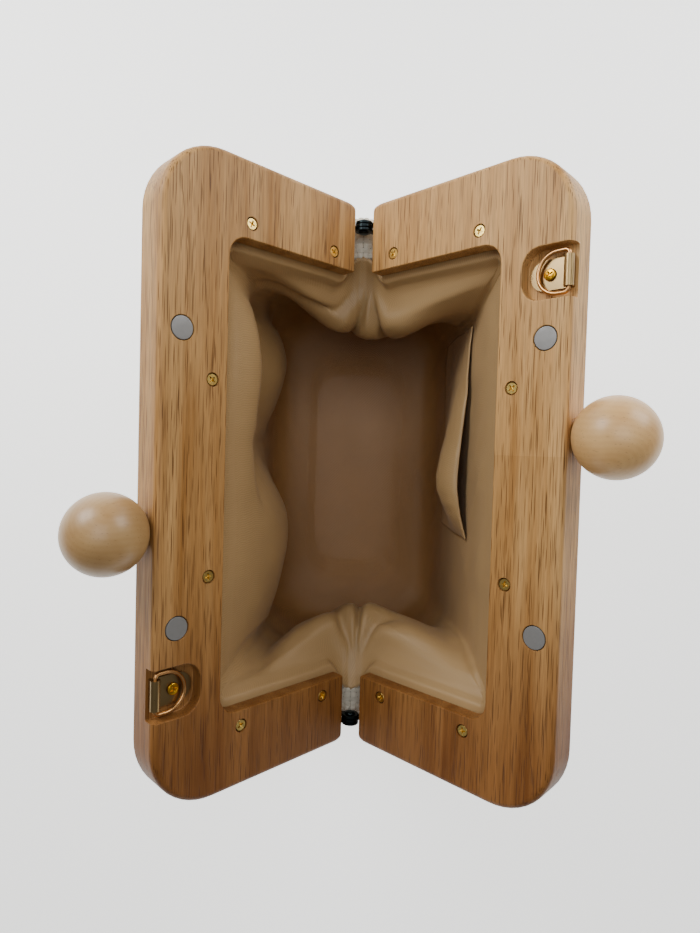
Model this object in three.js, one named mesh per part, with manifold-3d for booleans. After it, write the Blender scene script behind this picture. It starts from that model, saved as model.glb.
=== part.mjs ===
import * as THREE from "three";
import { mergeVertices } from "three/addons/utils/BufferGeometryUtils.js";
import Module from "manifold-3d";

const wasm = await Module();
wasm.setup();

// All lengths in mm. The bag stands on its straw base at z = 0 with the mouth held open.
// Each frame half is a flat board that turns about the hinge line, which runs along Y at HINGE_HEIGHT.
// Board coordinates: u runs out from the hinge line along the board, v along Y, w up from the mating face.

// Opening, common clearance, and how far a cutter runs past what it cuts.
const HINGE_HEIGHT = 115;
const OPEN_ANGLE = 44;
const GAP = 0.3;
const CUT_PAST = 20;

// Wooden frame half.
const BOARD_LENGTH = 250;
const BOARD_THICK = 17;
const ARM_END = 5.7;
const ARM_WIDTH = 31.25;
const WINDOW_REACH = 72;
const BAR_WIDTH = 28.3;
const OUTER_CORNER = 26;
const ARM_CORNER = 9;
const WINDOW_CORNER = 8;
const EDGE_ROUND = 2.6;
const WINDOW_EASE = 0.7;
const GROOVE_TOP = 6.5;
const GROOVE_WIDTH = 4.2;
const GROOVE_REACH = 10.2;

// Clamp screws: inset from the window edge, and places along the edges.
const SCREW_INSET = 6.4;
const SCREW_ARM_OUT_INSET = 10;
const SCREW_ARM_IN = 18;
const SCREW_BAR_SPACING = 75;
const SCREW_HEAD_R = 2.2;
const SCREW_SHANK_R = 1.1;
const SCREW_LENGTH = 12.2;
const SCREW_SUNK = 0.35;
const SCREW_CONE = 1.35;

// Closing magnets.
const MAGNET_R = 4.35;
const MAGNET_THICK = 3;
const MAGNET_INSET = 70;
const MAGNET_EDGE = 9;
const MAGNET_EASE = 0.3;

// Ball knobs and their dowels.
const BALL_R = 14.85;
const BALL_OFFSET = 19.3;
const DOWEL_R = 3;
const DOWEL_LENGTH = 12;

// Strap D-ring, its folded plate and the pocket that both lie in.
const RING_INSET = 46.1;
const RING_WIRE_R = 0.75;
const RING_WIDTH = 15.3;
const RING_HEIGHT = 11.8;
const RING_BAR_EDGE = 2.3;
const POCKET_REACH = 19.3;
const POCKET_WIDTH = 19.5;
const POCKET_DEEP = 5.7;
const POCKET_CORNER = 7;
const PLATE_WIDTH = 11.3;
const PLATE_THICK = 0.9;
const PLATE_REACH = 17.8;
const TUBE_R = 1.8;
const TUBE_BORE_R = 1.1;
const PLATE_SCREW_REACH = 10.1;
const PLATE_SCREW_HEAD = 0.75;
const PLATE_SCREW_LENGTH = 7;

// Riveted hinge in each gap between the arms.
const HINGE_INSET = 9.4;
const LUG_R = 4;
const LUG_THICK = 1.4;
const FORK_THICK = 1.2;
const LEAF_REACH = 18;
const LEAF_TOP = 2.5;
const LEAF_HEIGHT = 5;
const RIVET_R = 1.2;
const RIVET_HEAD_R = 2.4;
const RIVET_HEAD_THICK = 0.8;

// Cloth.
const STRAW_WALL = 2.2;
const STRAW_FLANGE = 9.3;
const LINING_WALL = 0.9;
const LINING_FLANGE = 4.4;
const CLOTH_GAP = 0.35;

// Derived places.
const TURN = THREE.MathUtils.degToRad(OPEN_ANGLE);
const COS = Math.cos(TURN);
const SIN = Math.sin(TURN);
const HALF_LENGTH = BOARD_LENGTH / 2;
const WINDOW_HALF = HALF_LENGTH - ARM_WIDTH;
const BOARD_REACH = WINDOW_REACH + BAR_WIDTH;
const MID_W = -BOARD_THICK / 2;
const FRAME_HALF_WIDTH = BOARD_REACH * COS;
const HINGE_PLACE = HALF_LENGTH - HINGE_INSET;
const RING_PLACE = HALF_LENGTH - RING_INSET;
const RING_U = BOARD_REACH - RING_BAR_EDGE;
const PLATE_W = -POCKET_DEEP + GAP;
const RING_W = PLATE_W + PLATE_THICK + TUBE_R - 0.15;
const LEAF_BOTTOM = LEAF_TOP + LEAF_HEIGHT;
const FORK_IN = LUG_THICK / 2 + GAP;
const FORK_OUT = FORK_IN + FORK_THICK;

// Solids and booleans.

function solid(geometry) {
  const bare = geometry.index ? geometry.toNonIndexed() : geometry.clone();
  bare.deleteAttribute("normal");
  bare.deleteAttribute("uv");
  const merged = mergeVertices(bare, 1e-4);
  return new wasm.Manifold(
    new wasm.Mesh({
      numProp: 3,
      vertProperties: new Float32Array(merged.attributes.position.array),
      triVerts: new Uint32Array(merged.index.array),
    }),
  );
}

function geometryOf(manifold) {
  const mesh = manifold.getMesh();
  const geometry = new THREE.BufferGeometry();
  geometry.setAttribute("position", new THREE.BufferAttribute(new Float32Array(mesh.vertProperties), 3));
  geometry.setIndex(new THREE.BufferAttribute(new Uint32Array(mesh.triVerts), 1));
  geometry.computeVertexNormals();
  return geometry;
}

function join(pieces) {
  return pieces.reduce((whole, piece) => whole.add(piece));
}

// A closed solid through a stack of rings with the same number of points; both ends are fans.
function loft(rings) {
  const count = rings[0].length;
  const points = [];
  const index = [];
  for (const ring of rings) {
    for (const p of ring) {
      points.push(p.x, p.y, p.z);
    }
  }
  for (let k = 0; k + 1 < rings.length; k += 1) {
    for (let j = 0; j < count; j += 1) {
      const a = k * count + j;
      const b = k * count + ((j + 1) % count);
      index.push(a, b, b + count, a, b + count, a + count);
    }
  }
  for (const [k, flip] of [[0, true], [rings.length - 1, false]]) {
    const mid = points.length / 3;
    const centre = rings[k].reduce((s, p) => s.add(p), new THREE.Vector3()).divideScalar(count);
    points.push(centre.x, centre.y, centre.z);
    for (let j = 0; j < count; j += 1) {
      const a = k * count + j;
      const b = k * count + ((j + 1) % count);
      index.push(...(flip ? [b, a, mid] : [a, b, mid]));
    }
  }
  const geometry = new THREE.BufferGeometry();
  geometry.setAttribute("position", new THREE.Float32BufferAttribute(points, 3));
  geometry.setIndex(index);
  return geometry;
}

// Rounded rectangle between u0 and u1, v from -half to half; radius r1 at the u1 corners, r0 at u0.
function roundedShape(u0, u1, half, r0, r1) {
  const shape = new THREE.Shape();
  shape.moveTo(u0 + r0, -half);
  shape.lineTo(u1 - r1, -half);
  shape.absarc(u1 - r1, -half + r1, r1, -Math.PI / 2, 0, false);
  shape.lineTo(u1, half - r1);
  shape.absarc(u1 - r1, half - r1, r1, 0, Math.PI / 2, false);
  shape.lineTo(u0 + r0, half);
  if (r0 > 0) {
    shape.absarc(u0 + r0, half - r0, r0, Math.PI / 2, Math.PI, false);
    shape.lineTo(u0, -half + r0);
    shape.absarc(u0 + r0, -half + r0, r0, Math.PI, 1.5 * Math.PI, false);
  } else {
    shape.lineTo(u0, -half);
  }
  return shape;
}

function prism(shape, low, high, segments = 4) {
  const geometry = new THREE.ExtrudeGeometry(shape, {
    depth: high - low,
    bevelEnabled: false,
    curveSegments: segments,
  });
  geometry.translate(0, 0, low);
  return geometry;
}

function box(u0, u1, v0, v1, w0, w1) {
  const geometry = new THREE.BoxGeometry(u1 - u0, v1 - v0, w1 - w0);
  geometry.translate((u0 + u1) / 2, (v0 + v1) / 2, (w0 + w1) / 2);
  return geometry;
}

// A turned solid about the w direction at (u, v); the profile is [radius, w] from the bottom up.
function turned(profile, u, v, segments = 20) {
  const geometry = new THREE.LatheGeometry(profile.map(([r, w]) => new THREE.Vector2(r, w)), segments);
  geometry.rotateX(Math.PI / 2);
  geometry.translate(u, v, 0);
  return geometry;
}

// Wooden frame half.

const screwPlaces = [];
for (const sign of [1, -1]) {
  screwPlaces.push([WINDOW_REACH - SCREW_ARM_OUT_INSET, sign * (WINDOW_HALF + SCREW_INSET)]);
  screwPlaces.push([SCREW_ARM_IN, sign * (WINDOW_HALF + SCREW_INSET)]);
  screwPlaces.push([WINDOW_REACH + SCREW_INSET, (sign * SCREW_BAR_SPACING) / 2]);
}
const magnetPlaces = [1, -1].map((sign) => [BOARD_REACH - MAGNET_EDGE, sign * (HALF_LENGTH - MAGNET_INSET)]);

function windowCutter() {
  const far = ARM_END + CUT_PAST;
  const rings = [];
  const levels = [
    [-BOARD_THICK - 1, WINDOW_EASE + 1],
    [-BOARD_THICK + WINDOW_EASE, 0],
    [-WINDOW_EASE, 0],
    [1, WINDOW_EASE + 1],
  ];
  for (const [w, grow] of levels) {
    const shape = roundedShape(
      ARM_END - far,
      WINDOW_REACH + grow,
      WINDOW_HALF + grow,
      0,
      WINDOW_CORNER + grow,
    );
    const flat = shape.extractPoints(4).shape;
    rings.push(flat.slice(0, -1).map((p) => new THREE.Vector3(p.x, p.y, w)));
  }
  return loft(rings);
}

function frameHalf() {
  const rounded = new THREE.ExtrudeGeometry(
    roundedShape(ARM_END - 2 * EDGE_ROUND, BOARD_REACH, HALF_LENGTH, ARM_CORNER, OUTER_CORNER),
    {
      depth: BOARD_THICK - 2 * EDGE_ROUND,
      bevelEnabled: true,
      bevelThickness: EDGE_ROUND,
      bevelSize: EDGE_ROUND,
      bevelOffset: -EDGE_ROUND,
      bevelSegments: 2,
      curveSegments: 5,
    },
  );
  rounded.translate(0, 0, -BOARD_THICK + EDGE_ROUND);
  const crisp = prism(
    roundedShape(ARM_END, BOARD_REACH + 1, HALF_LENGTH + 1, 0, OUTER_CORNER),
    -BOARD_THICK - 1,
    1,
  );
  const groove = prism(
    roundedShape(
      ARM_END - CUT_PAST,
      WINDOW_REACH + GROOVE_REACH,
      WINDOW_HALF + GROOVE_REACH,
      0,
      WINDOW_CORNER + GROOVE_REACH,
    ),
    -GROOVE_TOP - GROOVE_WIDTH,
    -GROOVE_TOP,
  );
  const cuts = [solid(windowCutter()), solid(groove)];

  const holeR = SCREW_SHANK_R + CLOTH_GAP;
  const coneTop = -SCREW_SUNK - 0.55;
  const screwHole = [
    [0, -SCREW_LENGTH - SCREW_SUNK - 0.5],
    [holeR, -SCREW_LENGTH - SCREW_SUNK - 0.5],
    [holeR, coneTop - SCREW_CONE - 0.15],
    [SCREW_HEAD_R + 0.4, coneTop],
    [SCREW_HEAD_R + 0.4, 1],
    [0, 1],
  ];
  for (const [u, v] of screwPlaces) {
    cuts.push(solid(turned(screwHole, u, v, 10)));
  }
  for (const [u, v] of magnetPlaces) {
    const bore = [
      [0, -MAGNET_THICK - GAP],
      [MAGNET_R + GAP, -MAGNET_THICK - GAP],
      [MAGNET_R + GAP, 1],
      [0, 1],
    ];
    cuts.push(solid(turned(bore, u, v, 20)));
  }

  const dowelHole = new THREE.CylinderGeometry(DOWEL_R + GAP, DOWEL_R + GAP, DOWEL_LENGTH + 3, 12);
  dowelHole.rotateZ(Math.PI / 2);
  dowelHole.translate(BOARD_REACH - (DOWEL_LENGTH + 3) / 2 + 2, BALL_OFFSET, MID_W);
  cuts.push(solid(dowelHole));

  const ringPocket = prism(
    roundedShape(
      BOARD_REACH - POCKET_REACH,
      BOARD_REACH + 5,
      POCKET_WIDTH / 2,
      POCKET_CORNER,
      0.01,
    ),
    -POCKET_DEEP,
    1,
    5,
  );
  ringPocket.translate(0, RING_PLACE, 0);
  cuts.push(solid(ringPocket));
  const plateHole = [
    [0, -POCKET_DEEP - PLATE_SCREW_LENGTH],
    [holeR, -POCKET_DEEP - PLATE_SCREW_LENGTH],
    [holeR, 0],
    [0, 0],
  ];
  cuts.push(solid(turned(plateHole, BOARD_REACH - PLATE_SCREW_REACH, RING_PLACE, 12)));

  const slotLow = -LEAF_BOTTOM - GAP;
  const slotHigh = -LEAF_TOP + GAP;
  const slotEnd = LEAF_REACH + GAP;
  const forkSlot = FORK_OUT + GAP;
  const lugSlot = LUG_THICK / 2 + GAP;
  cuts.push(
    solid(box(0, slotEnd, HINGE_PLACE - forkSlot, HINGE_PLACE + forkSlot, slotLow, slotHigh)),
    solid(box(0, slotEnd, -HINGE_PLACE - lugSlot, -HINGE_PLACE + lugSlot, slotLow, slotHigh)),
  );
  return geometryOf(solid(rounded).intersect(solid(crisp)).subtract(join(cuts)));
}

// Fittings.

function frameScrew() {
  const top = -SCREW_SUNK;
  return turned(
    [
      [0, top - SCREW_LENGTH],
      [SCREW_SHANK_R, top - SCREW_LENGTH],
      [SCREW_SHANK_R, top - 0.4 - SCREW_CONE],
      [SCREW_HEAD_R, top - 0.4],
      [SCREW_HEAD_R - 0.15, top],
      [0, top],
    ],
    0,
    0,
    10,
  );
}

function magnet() {
  return turned(
    [
      [0, -MAGNET_THICK],
      [MAGNET_R, -MAGNET_THICK],
      [MAGNET_R, -MAGNET_EASE],
      [MAGNET_R - MAGNET_EASE, 0],
      [0, 0],
    ],
    0,
    0,
    20,
  );
}

// The ball sits against the bar's outer edge on a small flat, with its dowel in the bar.
function ballKnob() {
  const seat = BOARD_REACH + GAP;
  const centre = BOARD_REACH + BALL_R - 0.45;
  const ball = new THREE.SphereGeometry(BALL_R, 20, 12);
  ball.translate(centre, BALL_OFFSET, MID_W);
  const behind = box(seat - CUT_PAST, seat, 0, 2 * BALL_OFFSET, MID_W - CUT_PAST, MID_W + CUT_PAST);
  const dowel = new THREE.CylinderGeometry(DOWEL_R, DOWEL_R, DOWEL_LENGTH + BALL_R / 2, 12);
  dowel.rotateZ(Math.PI / 2);
  dowel.translate(BOARD_REACH - DOWEL_LENGTH + (DOWEL_LENGTH + BALL_R / 2) / 2, BALL_OFFSET, MID_W);
  return geometryOf(solid(ball).subtract(solid(behind)).add(solid(dowel)));
}

// Folded plate: a round-ended tongue under the ring with its outer end rolled into a tube.
function ringPlate() {
  const endR = PLATE_WIDTH / 2;
  const tongue = prism(
    roundedShape(BOARD_REACH - PLATE_REACH, RING_U + TUBE_R - 0.3, endR, endR - 0.01, 0.01),
    PLATE_W,
    PLATE_W + PLATE_THICK,
    5,
  );
  const tube = new THREE.CylinderGeometry(TUBE_R, TUBE_R, PLATE_WIDTH, 12);
  tube.translate(RING_U, 0, RING_W);
  const bore = new THREE.CylinderGeometry(TUBE_BORE_R, TUBE_BORE_R, PLATE_WIDTH + 2, 10);
  bore.translate(RING_U, 0, RING_W);
  const hole = turned(
    [
      [0, PLATE_W - 1],
      [SCREW_SHANK_R + CLOTH_GAP, PLATE_W - 1],
      [SCREW_SHANK_R + CLOTH_GAP, PLATE_W + PLATE_THICK + 1],
      [0, PLATE_W + PLATE_THICK + 1],
    ],
    BOARD_REACH - PLATE_SCREW_REACH,
    0,
    12,
  );
  const whole = solid(tongue).add(solid(tube)).subtract(solid(bore)).subtract(solid(hole));
  return geometryOf(whole).translate(0, RING_PLACE, 0);
}

function plateScrew() {
  const under = PLATE_W + PLATE_THICK + GAP;
  return turned(
    [
      [0, under - PLATE_SCREW_LENGTH],
      [SCREW_SHANK_R, under - PLATE_SCREW_LENGTH],
      [SCREW_SHANK_R, under],
      [SCREW_HEAD_R, under],
      [SCREW_HEAD_R - 0.1, under + PLATE_SCREW_HEAD * 0.55],
      [SCREW_HEAD_R * 0.55, under + PLATE_SCREW_HEAD],
      [0, under + PLATE_SCREW_HEAD],
    ],
    BOARD_REACH - PLATE_SCREW_REACH,
    RING_PLACE,
    14,
  );
}

// D-ring wire: straight bar through the tube, two short sides and a round bow.
function ringWire() {
  const bow = RING_WIDTH / 2;
  const bend = 1.6;
  const side = RING_HEIGHT - bow;
  const line = [];
  for (const y of [-0.62, -0.31, 0, 0.31, 0.62]) {
    line.push([0, y * bow]);
  }
  for (let i = 0; i <= 2; i += 1) {
    const a = (i / 2) * (Math.PI / 2);
    line.push([-bend + bend * Math.cos(a), bow - bend + bend * Math.sin(a)]);
  }
  for (let i = 0; i <= 10; i += 1) {
    const a = (i / 10) * Math.PI;
    line.push([-side - bow * Math.sin(a), bow * Math.cos(a)]);
  }
  for (let i = 2; i >= 0; i -= 1) {
    const a = (i / 2) * (Math.PI / 2);
    line.push([-bend + bend * Math.cos(a), -bow + bend - bend * Math.sin(a)]);
  }
  const path = new THREE.CatmullRomCurve3(
    line.map(([u, v]) => new THREE.Vector3(RING_U + u, RING_PLACE + v, RING_W)),
    true,
    "centripetal",
  );
  return new THREE.TubeGeometry(path, 34, RING_WIRE_R, 7, true);
}

// Hinge leaf plate in the u-w plane: a round eye on the hinge line and a tail in the arm.
function leafPlate(v0, v1) {
  const eye = new THREE.CylinderGeometry(LUG_R, LUG_R, v1 - v0, 16);
  eye.translate(0, (v0 + v1) / 2, 0);
  const tail = box(LUG_R * 0.25, LEAF_REACH, v0, v1, -LEAF_BOTTOM, -LEAF_TOP);
  return solid(eye).add(solid(tail));
}

function eyeHole() {
  return solid(new THREE.CylinderGeometry(RIVET_R + GAP, RIVET_R + GAP, 20, 10));
}

function hingeLug() {
  return geometryOf(leafPlate(-LUG_THICK / 2, LUG_THICK / 2).subtract(eyeHole()));
}

function hingeFork() {
  const web = solid(box(LEAF_REACH - 4, LEAF_REACH, -FORK_OUT, FORK_OUT, -LEAF_BOTTOM, -LEAF_TOP));
  const plates = [leafPlate(-FORK_OUT, -FORK_IN), leafPlate(FORK_IN, FORK_OUT), web];
  return geometryOf(join(plates).subtract(eyeHole()));
}

function hingeRivet() {
  const inner = FORK_OUT + GAP;
  const outer = inner + RIVET_HEAD_THICK;
  const profile = [
    [0, -outer],
    [RIVET_HEAD_R * 0.6, -outer],
    [RIVET_HEAD_R, -outer + RIVET_HEAD_THICK * 0.5],
    [RIVET_HEAD_R, -inner],
    [RIVET_R, -inner],
    [RIVET_R, inner],
    [RIVET_HEAD_R, inner],
    [RIVET_HEAD_R, outer - RIVET_HEAD_THICK * 0.5],
    [RIVET_HEAD_R * 0.6, outer],
    [0, outer],
  ];
  return new THREE.LatheGeometry(profile.map(([r, y]) => new THREE.Vector2(r, y)), 12);
}

// Cloth: straw body, lining and inner pocket.

// Columns run round the mouth: per quarter, a long side, a corner and a short side to the hinge gap.
const LONG_STEPS = 7;
const CORNER_STEPS = 3;
// Short-side columns: place along the arm, share of the flange, share of the free-hanging gap shape.
const SHORT_COLUMNS = [
  { along: 1, flange: 1, free: 0 },
  { along: 0.78, flange: 1, free: 0 },
  { along: 0.56, flange: 1, free: 0 },
  { along: 0.335, flange: 1, free: 0 },
  { along: 0.21, flange: 0.25, free: 0 },
  { along: 0.105, flange: 0.1, free: 0.28 },
  { along: 0, flange: 0, free: 1 },
];
const SHORT_STEPS = SHORT_COLUMNS.length - 1;
const END_COLUMN = 4;
const QUARTER = LONG_STEPS + CORNER_STEPS + SHORT_STEPS;
const MOUTH_DEPTH = 9.3;
const LINING_DEPTH = 7.4;
const LIP_OFFSET = -1.8;
const LINING_LIP = -3.85;
// Share of a section's half width where its short-side columns start.
const STRAW_END_REACH = 0.8;
const LINING_END_REACH = 0.88;

// Section tables hold shares: half widths and corner radii of the open frame's half width,
// half lengths and shifts along Y of its half length.
// Straw sections by share of the hinge height.
const STRAW_SECTIONS = [
  { height: 0, width: 0.7207, length: 0.832, corner: 0.3604, shift: 0 },
  { height: 0.16, width: 0.8039, length: 0.912, corner: 0.4712, shift: 0.004 },
  { height: 0.48, width: 0.887, length: 0.968, corner: 0.5821, shift: 0.0096 },
  { height: 0.8, width: 0.9148, length: 0.9784, corner: 0.6098, shift: 0.012 },
  { height: 1.05, width: 0.9148, length: 0.9784, corner: 0.6098, shift: 0.012 },
  { height: 1.35, width: 0.894, length: 0.976, corner: 0.6098, shift: 0.012 },
];

// Straw rows that follow the frame: offset out of the window edge and depth, and their place in the gap
// as shares of the board's thickness.
const STRAW_MOUTH = [
  { offset: STRAW_FLANGE, depth: MOUTH_DEPTH, gap_out: 0.7441, gap_z: -0.2529 },
  { offset: LIP_OFFSET, depth: MOUTH_DEPTH, gap_out: 0.7794, gap_z: -0.3941 },
  { offset: LIP_OFFSET, depth: 0.8235 * BOARD_THICK, gap_out: 0.8676, gap_z: -0.4353 },
  { offset: LIP_OFFSET, depth: 1.1353 * BOARD_THICK, gap_out: 0.9559, gap_z: -0.4529 },
];

// Straw rows below: share of the way out to the section, and drops at the sides, ends and gap
// as shares of the hinge height.
const STRAW_ROWS = [
  { out: 0.42, side_drop: 0.0522, end_drop: 0.0139, gap_drop: 0.0009 },
  { out: 0.76, side_drop: 0.1217, end_drop: 0.0278, gap_drop: 0.0043 },
  { out: 0.97, side_drop: 0.2087, end_drop: 0.0696, gap_drop: 0.0261 },
  { out: 1, side_drop: 0.313, end_drop: 0.1652, gap_drop: 0.1217 },
];
const STRAW_LEVELS = [0.4, 0.75, 0.95];
const BASE_RINGS = [0.93];

// Lining sections by share of the drop from the mouth to the floor.
const LINING_SECTIONS = [
  { drop: 0.06, width: 0.7623, length: 0.712, corner: 0.1247 },
  { drop: 0.14, width: 0.7415, length: 0.696, corner: 0.1663 },
  { drop: 0.24, width: 0.7277, length: 0.696, corner: 0.2079 },
  { drop: 0.36, width: 0.7138, length: 0.728, corner: 0.2495 },
  { drop: 0.52, width: 0.7069, length: 0.776, corner: 0.3049 },
  { drop: 0.74, width: 0.6999, length: 0.8, corner: 0.3465 },
  { drop: 0.93, width: 0.6791, length: 0.792, corner: 0.3465 },
  { drop: 1, width: 0.6237, length: 0.76, corner: 0.3049 },
];
const LINING_MOUTH = [
  { offset: LINING_FLANGE, depth: LINING_DEPTH, gap_out: 0.5, gap_z: -0.12 },
  { offset: LINING_LIP, depth: LINING_DEPTH, gap_out: 0.44, gap_z: -0.25 },
  { offset: LINING_LIP, depth: 0.7353 * BOARD_THICK, gap_out: 0.22, gap_z: -0.5059 },
];

// Main folds of the lining: side, middle along it and half spread as shares of the frame's half size,
// level and band as shares of the drop, and reach inward as a share of the frame's half width.
const LINING_FOLDS = [
  { side: "+y", middle: 0.1663, spread: 0.6376, level: 0.2, band: 0.2, inward: 0.2218 },
  { side: "-y", middle: 0.0554, spread: 0.693, level: 0.2, band: 0.2, inward: 0.2356 },
  { side: "-x", middle: 0.48, spread: 0.384, level: 0.38, band: 0.34, inward: 0.1802 },
  { side: "-x", middle: -0.208, spread: 0.368, level: 0.42, band: 0.36, inward: 0.2356 },
  { side: "+x", middle: 0.016, spread: 0.4, level: 0.35, band: 0.3, inward: 0.0416 },
];

// Inner slip pocket: its widest gape, and the hem's share of it per column from its lower end up.
const POCKET_FIRST = -2;
const POCKET_GAPE = 12;
const POCKET_SHARES = [0, 0.708, 1, 0.875, 0.708, 0.5, 0.292, 0.1, 0];
const POCKET_ROWS = [5, 6, 7, 8];
const POCKET_OPEN = [1, 0.45, 0.1, 0];

function sized(rows) {
  return rows.map((row) => ({
    ...row,
    width: row.width * FRAME_HALF_WIDTH,
    length: row.length * HALF_LENGTH,
    corner: row.corner * FRAME_HALF_WIDTH,
    shift: (row.shift ?? 0) * HALF_LENGTH,
  }));
}

function tableAt(rows, key, at) {
  const last = rows.length - 1;
  if (at <= rows[0][key]) {
    return rows[0];
  }
  if (at >= rows[last][key]) {
    return rows[last];
  }
  const i = rows.findIndex((row) => row[key] >= at);
  const share = (at - rows[i - 1][key]) / (rows[i][key] - rows[i - 1][key]);
  const mixed = {};
  for (const name of Object.keys(rows[i])) {
    mixed[name] = rows[i - 1][name] + (rows[i][name] - rows[i - 1][name]) * share;
  }
  return mixed;
}

// Column number to its quarter index and the signs of its quarter.
function columnOf(j) {
  const quadrant = Math.floor(j / QUARTER) % 4;
  const step = j % QUARTER;
  const index = quadrant % 2 === 0 ? step : QUARTER - step;
  return {
    index,
    x: quadrant === 0 || quadrant === 3 ? 1 : -1,
    y: quadrant < 2 ? 1 : -1,
  };
}
const COLUMNS = Array.from({ length: 4 * QUARTER }, (unused, j) => columnOf(j));

// Point of a rounded-rectangle section for a quarter index; short-side columns start at x = reach * width.
function sectionPoint(index, width, length, corner, reach) {
  if (index <= LONG_STEPS) {
    return [width, ((length - corner) * index) / LONG_STEPS];
  }
  const flat = width - corner;
  const last = Math.acos(THREE.MathUtils.clamp((reach * width - flat) / corner, 0, 1));
  if (index <= LONG_STEPS + CORNER_STEPS) {
    const a = ((index - LONG_STEPS) / CORNER_STEPS) * last;
    return [flat + corner * Math.cos(a), length - corner + corner * Math.sin(a)];
  }
  const x = reach * width * SHORT_COLUMNS[index - LONG_STEPS - CORNER_STEPS].along;
  const over = Math.max(0, x - flat);
  return [x, length - corner + Math.sqrt(corner * corner - over * over)];
}

// Point of a cloth row that hangs free in the gap between the arms.
function gapPoint(x, row) {
  return new THREE.Vector3(x, WINDOW_HALF + row.gap_out * BOARD_THICK, row.gap_z * BOARD_THICK);
}

// Point of a cloth row that follows the frame's window edge, for a quarter index.
function mouthPoint(index, row) {
  const w = -row.depth;
  const uc = WINDOW_REACH - WINDOW_CORNER;
  const vc = WINDOW_HALF - WINDOW_CORNER;
  const onBoard = (u, v) => new THREE.Vector3(u * COS - w * SIN, v, u * SIN + w * COS);
  if (index <= LONG_STEPS) {
    return onBoard(WINDOW_REACH + row.offset, (vc * index) / LONG_STEPS);
  }
  if (index <= LONG_STEPS + CORNER_STEPS) {
    const a = (((index - LONG_STEPS) / CORNER_STEPS) * Math.PI) / 2;
    const r = WINDOW_CORNER + row.offset;
    return onBoard(uc + r * Math.cos(a), vc + r * Math.sin(a));
  }
  const step = index - LONG_STEPS - CORNER_STEPS;
  const column = SHORT_COLUMNS[step];
  const lip = Math.min(row.offset, LIP_OFFSET);
  const offset = lip + (row.offset - lip) * column.flange;
  const endX = (ARM_END + GAP) * COS + row.depth * SIN;
  const spread = (uc * COS + MOUTH_DEPTH * SIN) * column.along;
  const x = step < END_COLUMN
    ? spread + (row.depth - MOUTH_DEPTH) * SIN * column.along
    : (endX * column.along) / SHORT_COLUMNS[END_COLUMN].along;
  const board = new THREE.Vector3(x, WINDOW_HALF + offset, (w + Math.max(x, endX) * SIN) / COS);
  return board.lerp(gapPoint(x, row), column.free);
}

// Share of short-side character in a column: 0 on the long sides, 1 on the short ones.
function endShare(index) {
  return THREE.MathUtils.clamp((index - LONG_STEPS) / CORNER_STEPS, 0, 1);
}

function strawRings() {
  const strawSections = sized(STRAW_SECTIONS);
  const rings = STRAW_MOUTH.map((row) =>
    COLUMNS.map((c) => {
      const p = mouthPoint(c.index, row);
      return new THREE.Vector3(c.x * p.x, c.y * p.y, p.z + HINGE_HEIGHT);
    }),
  );
  const top = rings[rings.length - 1];
  const start = COLUMNS.map((c, j) => (freeShare(c.index) > 0 ? rings[1][j] : top[j]));
  const underArm = ARM_END * COS + BOARD_THICK * SIN + 0.6;
  const underDepth = STRAW_MOUTH[STRAW_MOUTH.length - 1].depth + 0.8;
  const sectionAt = (c, z) => {
    const s = tableAt(strawSections, "height", z / HINGE_HEIGHT);
    const [x, y] = sectionPoint(c.index, s.width, s.length, s.corner, STRAW_END_REACH);
    return new THREE.Vector3(c.x * x, c.y * y + s.shift, z);
  };
  for (const row of STRAW_ROWS) {
    rings.push(
      COLUMNS.map((c, j) => {
        const end = endShare(c.index);
        const free = freeShare(c.index);
        const held = row.side_drop * (1 - end) + row.end_drop * end;
        const drop = (held * (1 - free) + row.gap_drop * free) * HINGE_HEIGHT;
        let z = top[j].z - drop;
        const s = sectionAt(c, z);
        const out = start[j].clone().lerp(s, row.out);
        if (Math.abs(out.x) > underArm) {
          z = Math.min(z, HINGE_HEIGHT + (Math.abs(out.x) * SIN - underDepth) / COS);
        }
        return new THREE.Vector3(out.x, Math.abs(out.y) < Math.abs(top[j].y) ? top[j].y : out.y, z);
      }),
    );
  }
  const last = rings[rings.length - 1];
  const floor = STRAW_WALL / 2;
  for (const level of [...STRAW_LEVELS, 1]) {
    rings.push(
      COLUMNS.map((c, j) => {
        const z = level === 1 ? floor : last[j].z * (1 - level) + floor * level;
        return sectionAt(c, z);
      }),
    );
  }
  const rim = rings[rings.length - 1];
  for (const share of BASE_RINGS) {
    rings.push(rim.map((p) => new THREE.Vector3(p.x * share, p.y * share, floor)));
  }
  return rings;
}

function freeShare(index) {
  const step = index - LONG_STEPS - CORNER_STEPS;
  return step > 0 ? SHORT_COLUMNS[step].free : 0;
}

function bump(distance, spread) {
  return Math.abs(distance) < spread ? Math.cos(((distance / spread) * Math.PI) / 2) ** 2 : 0;
}

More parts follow.
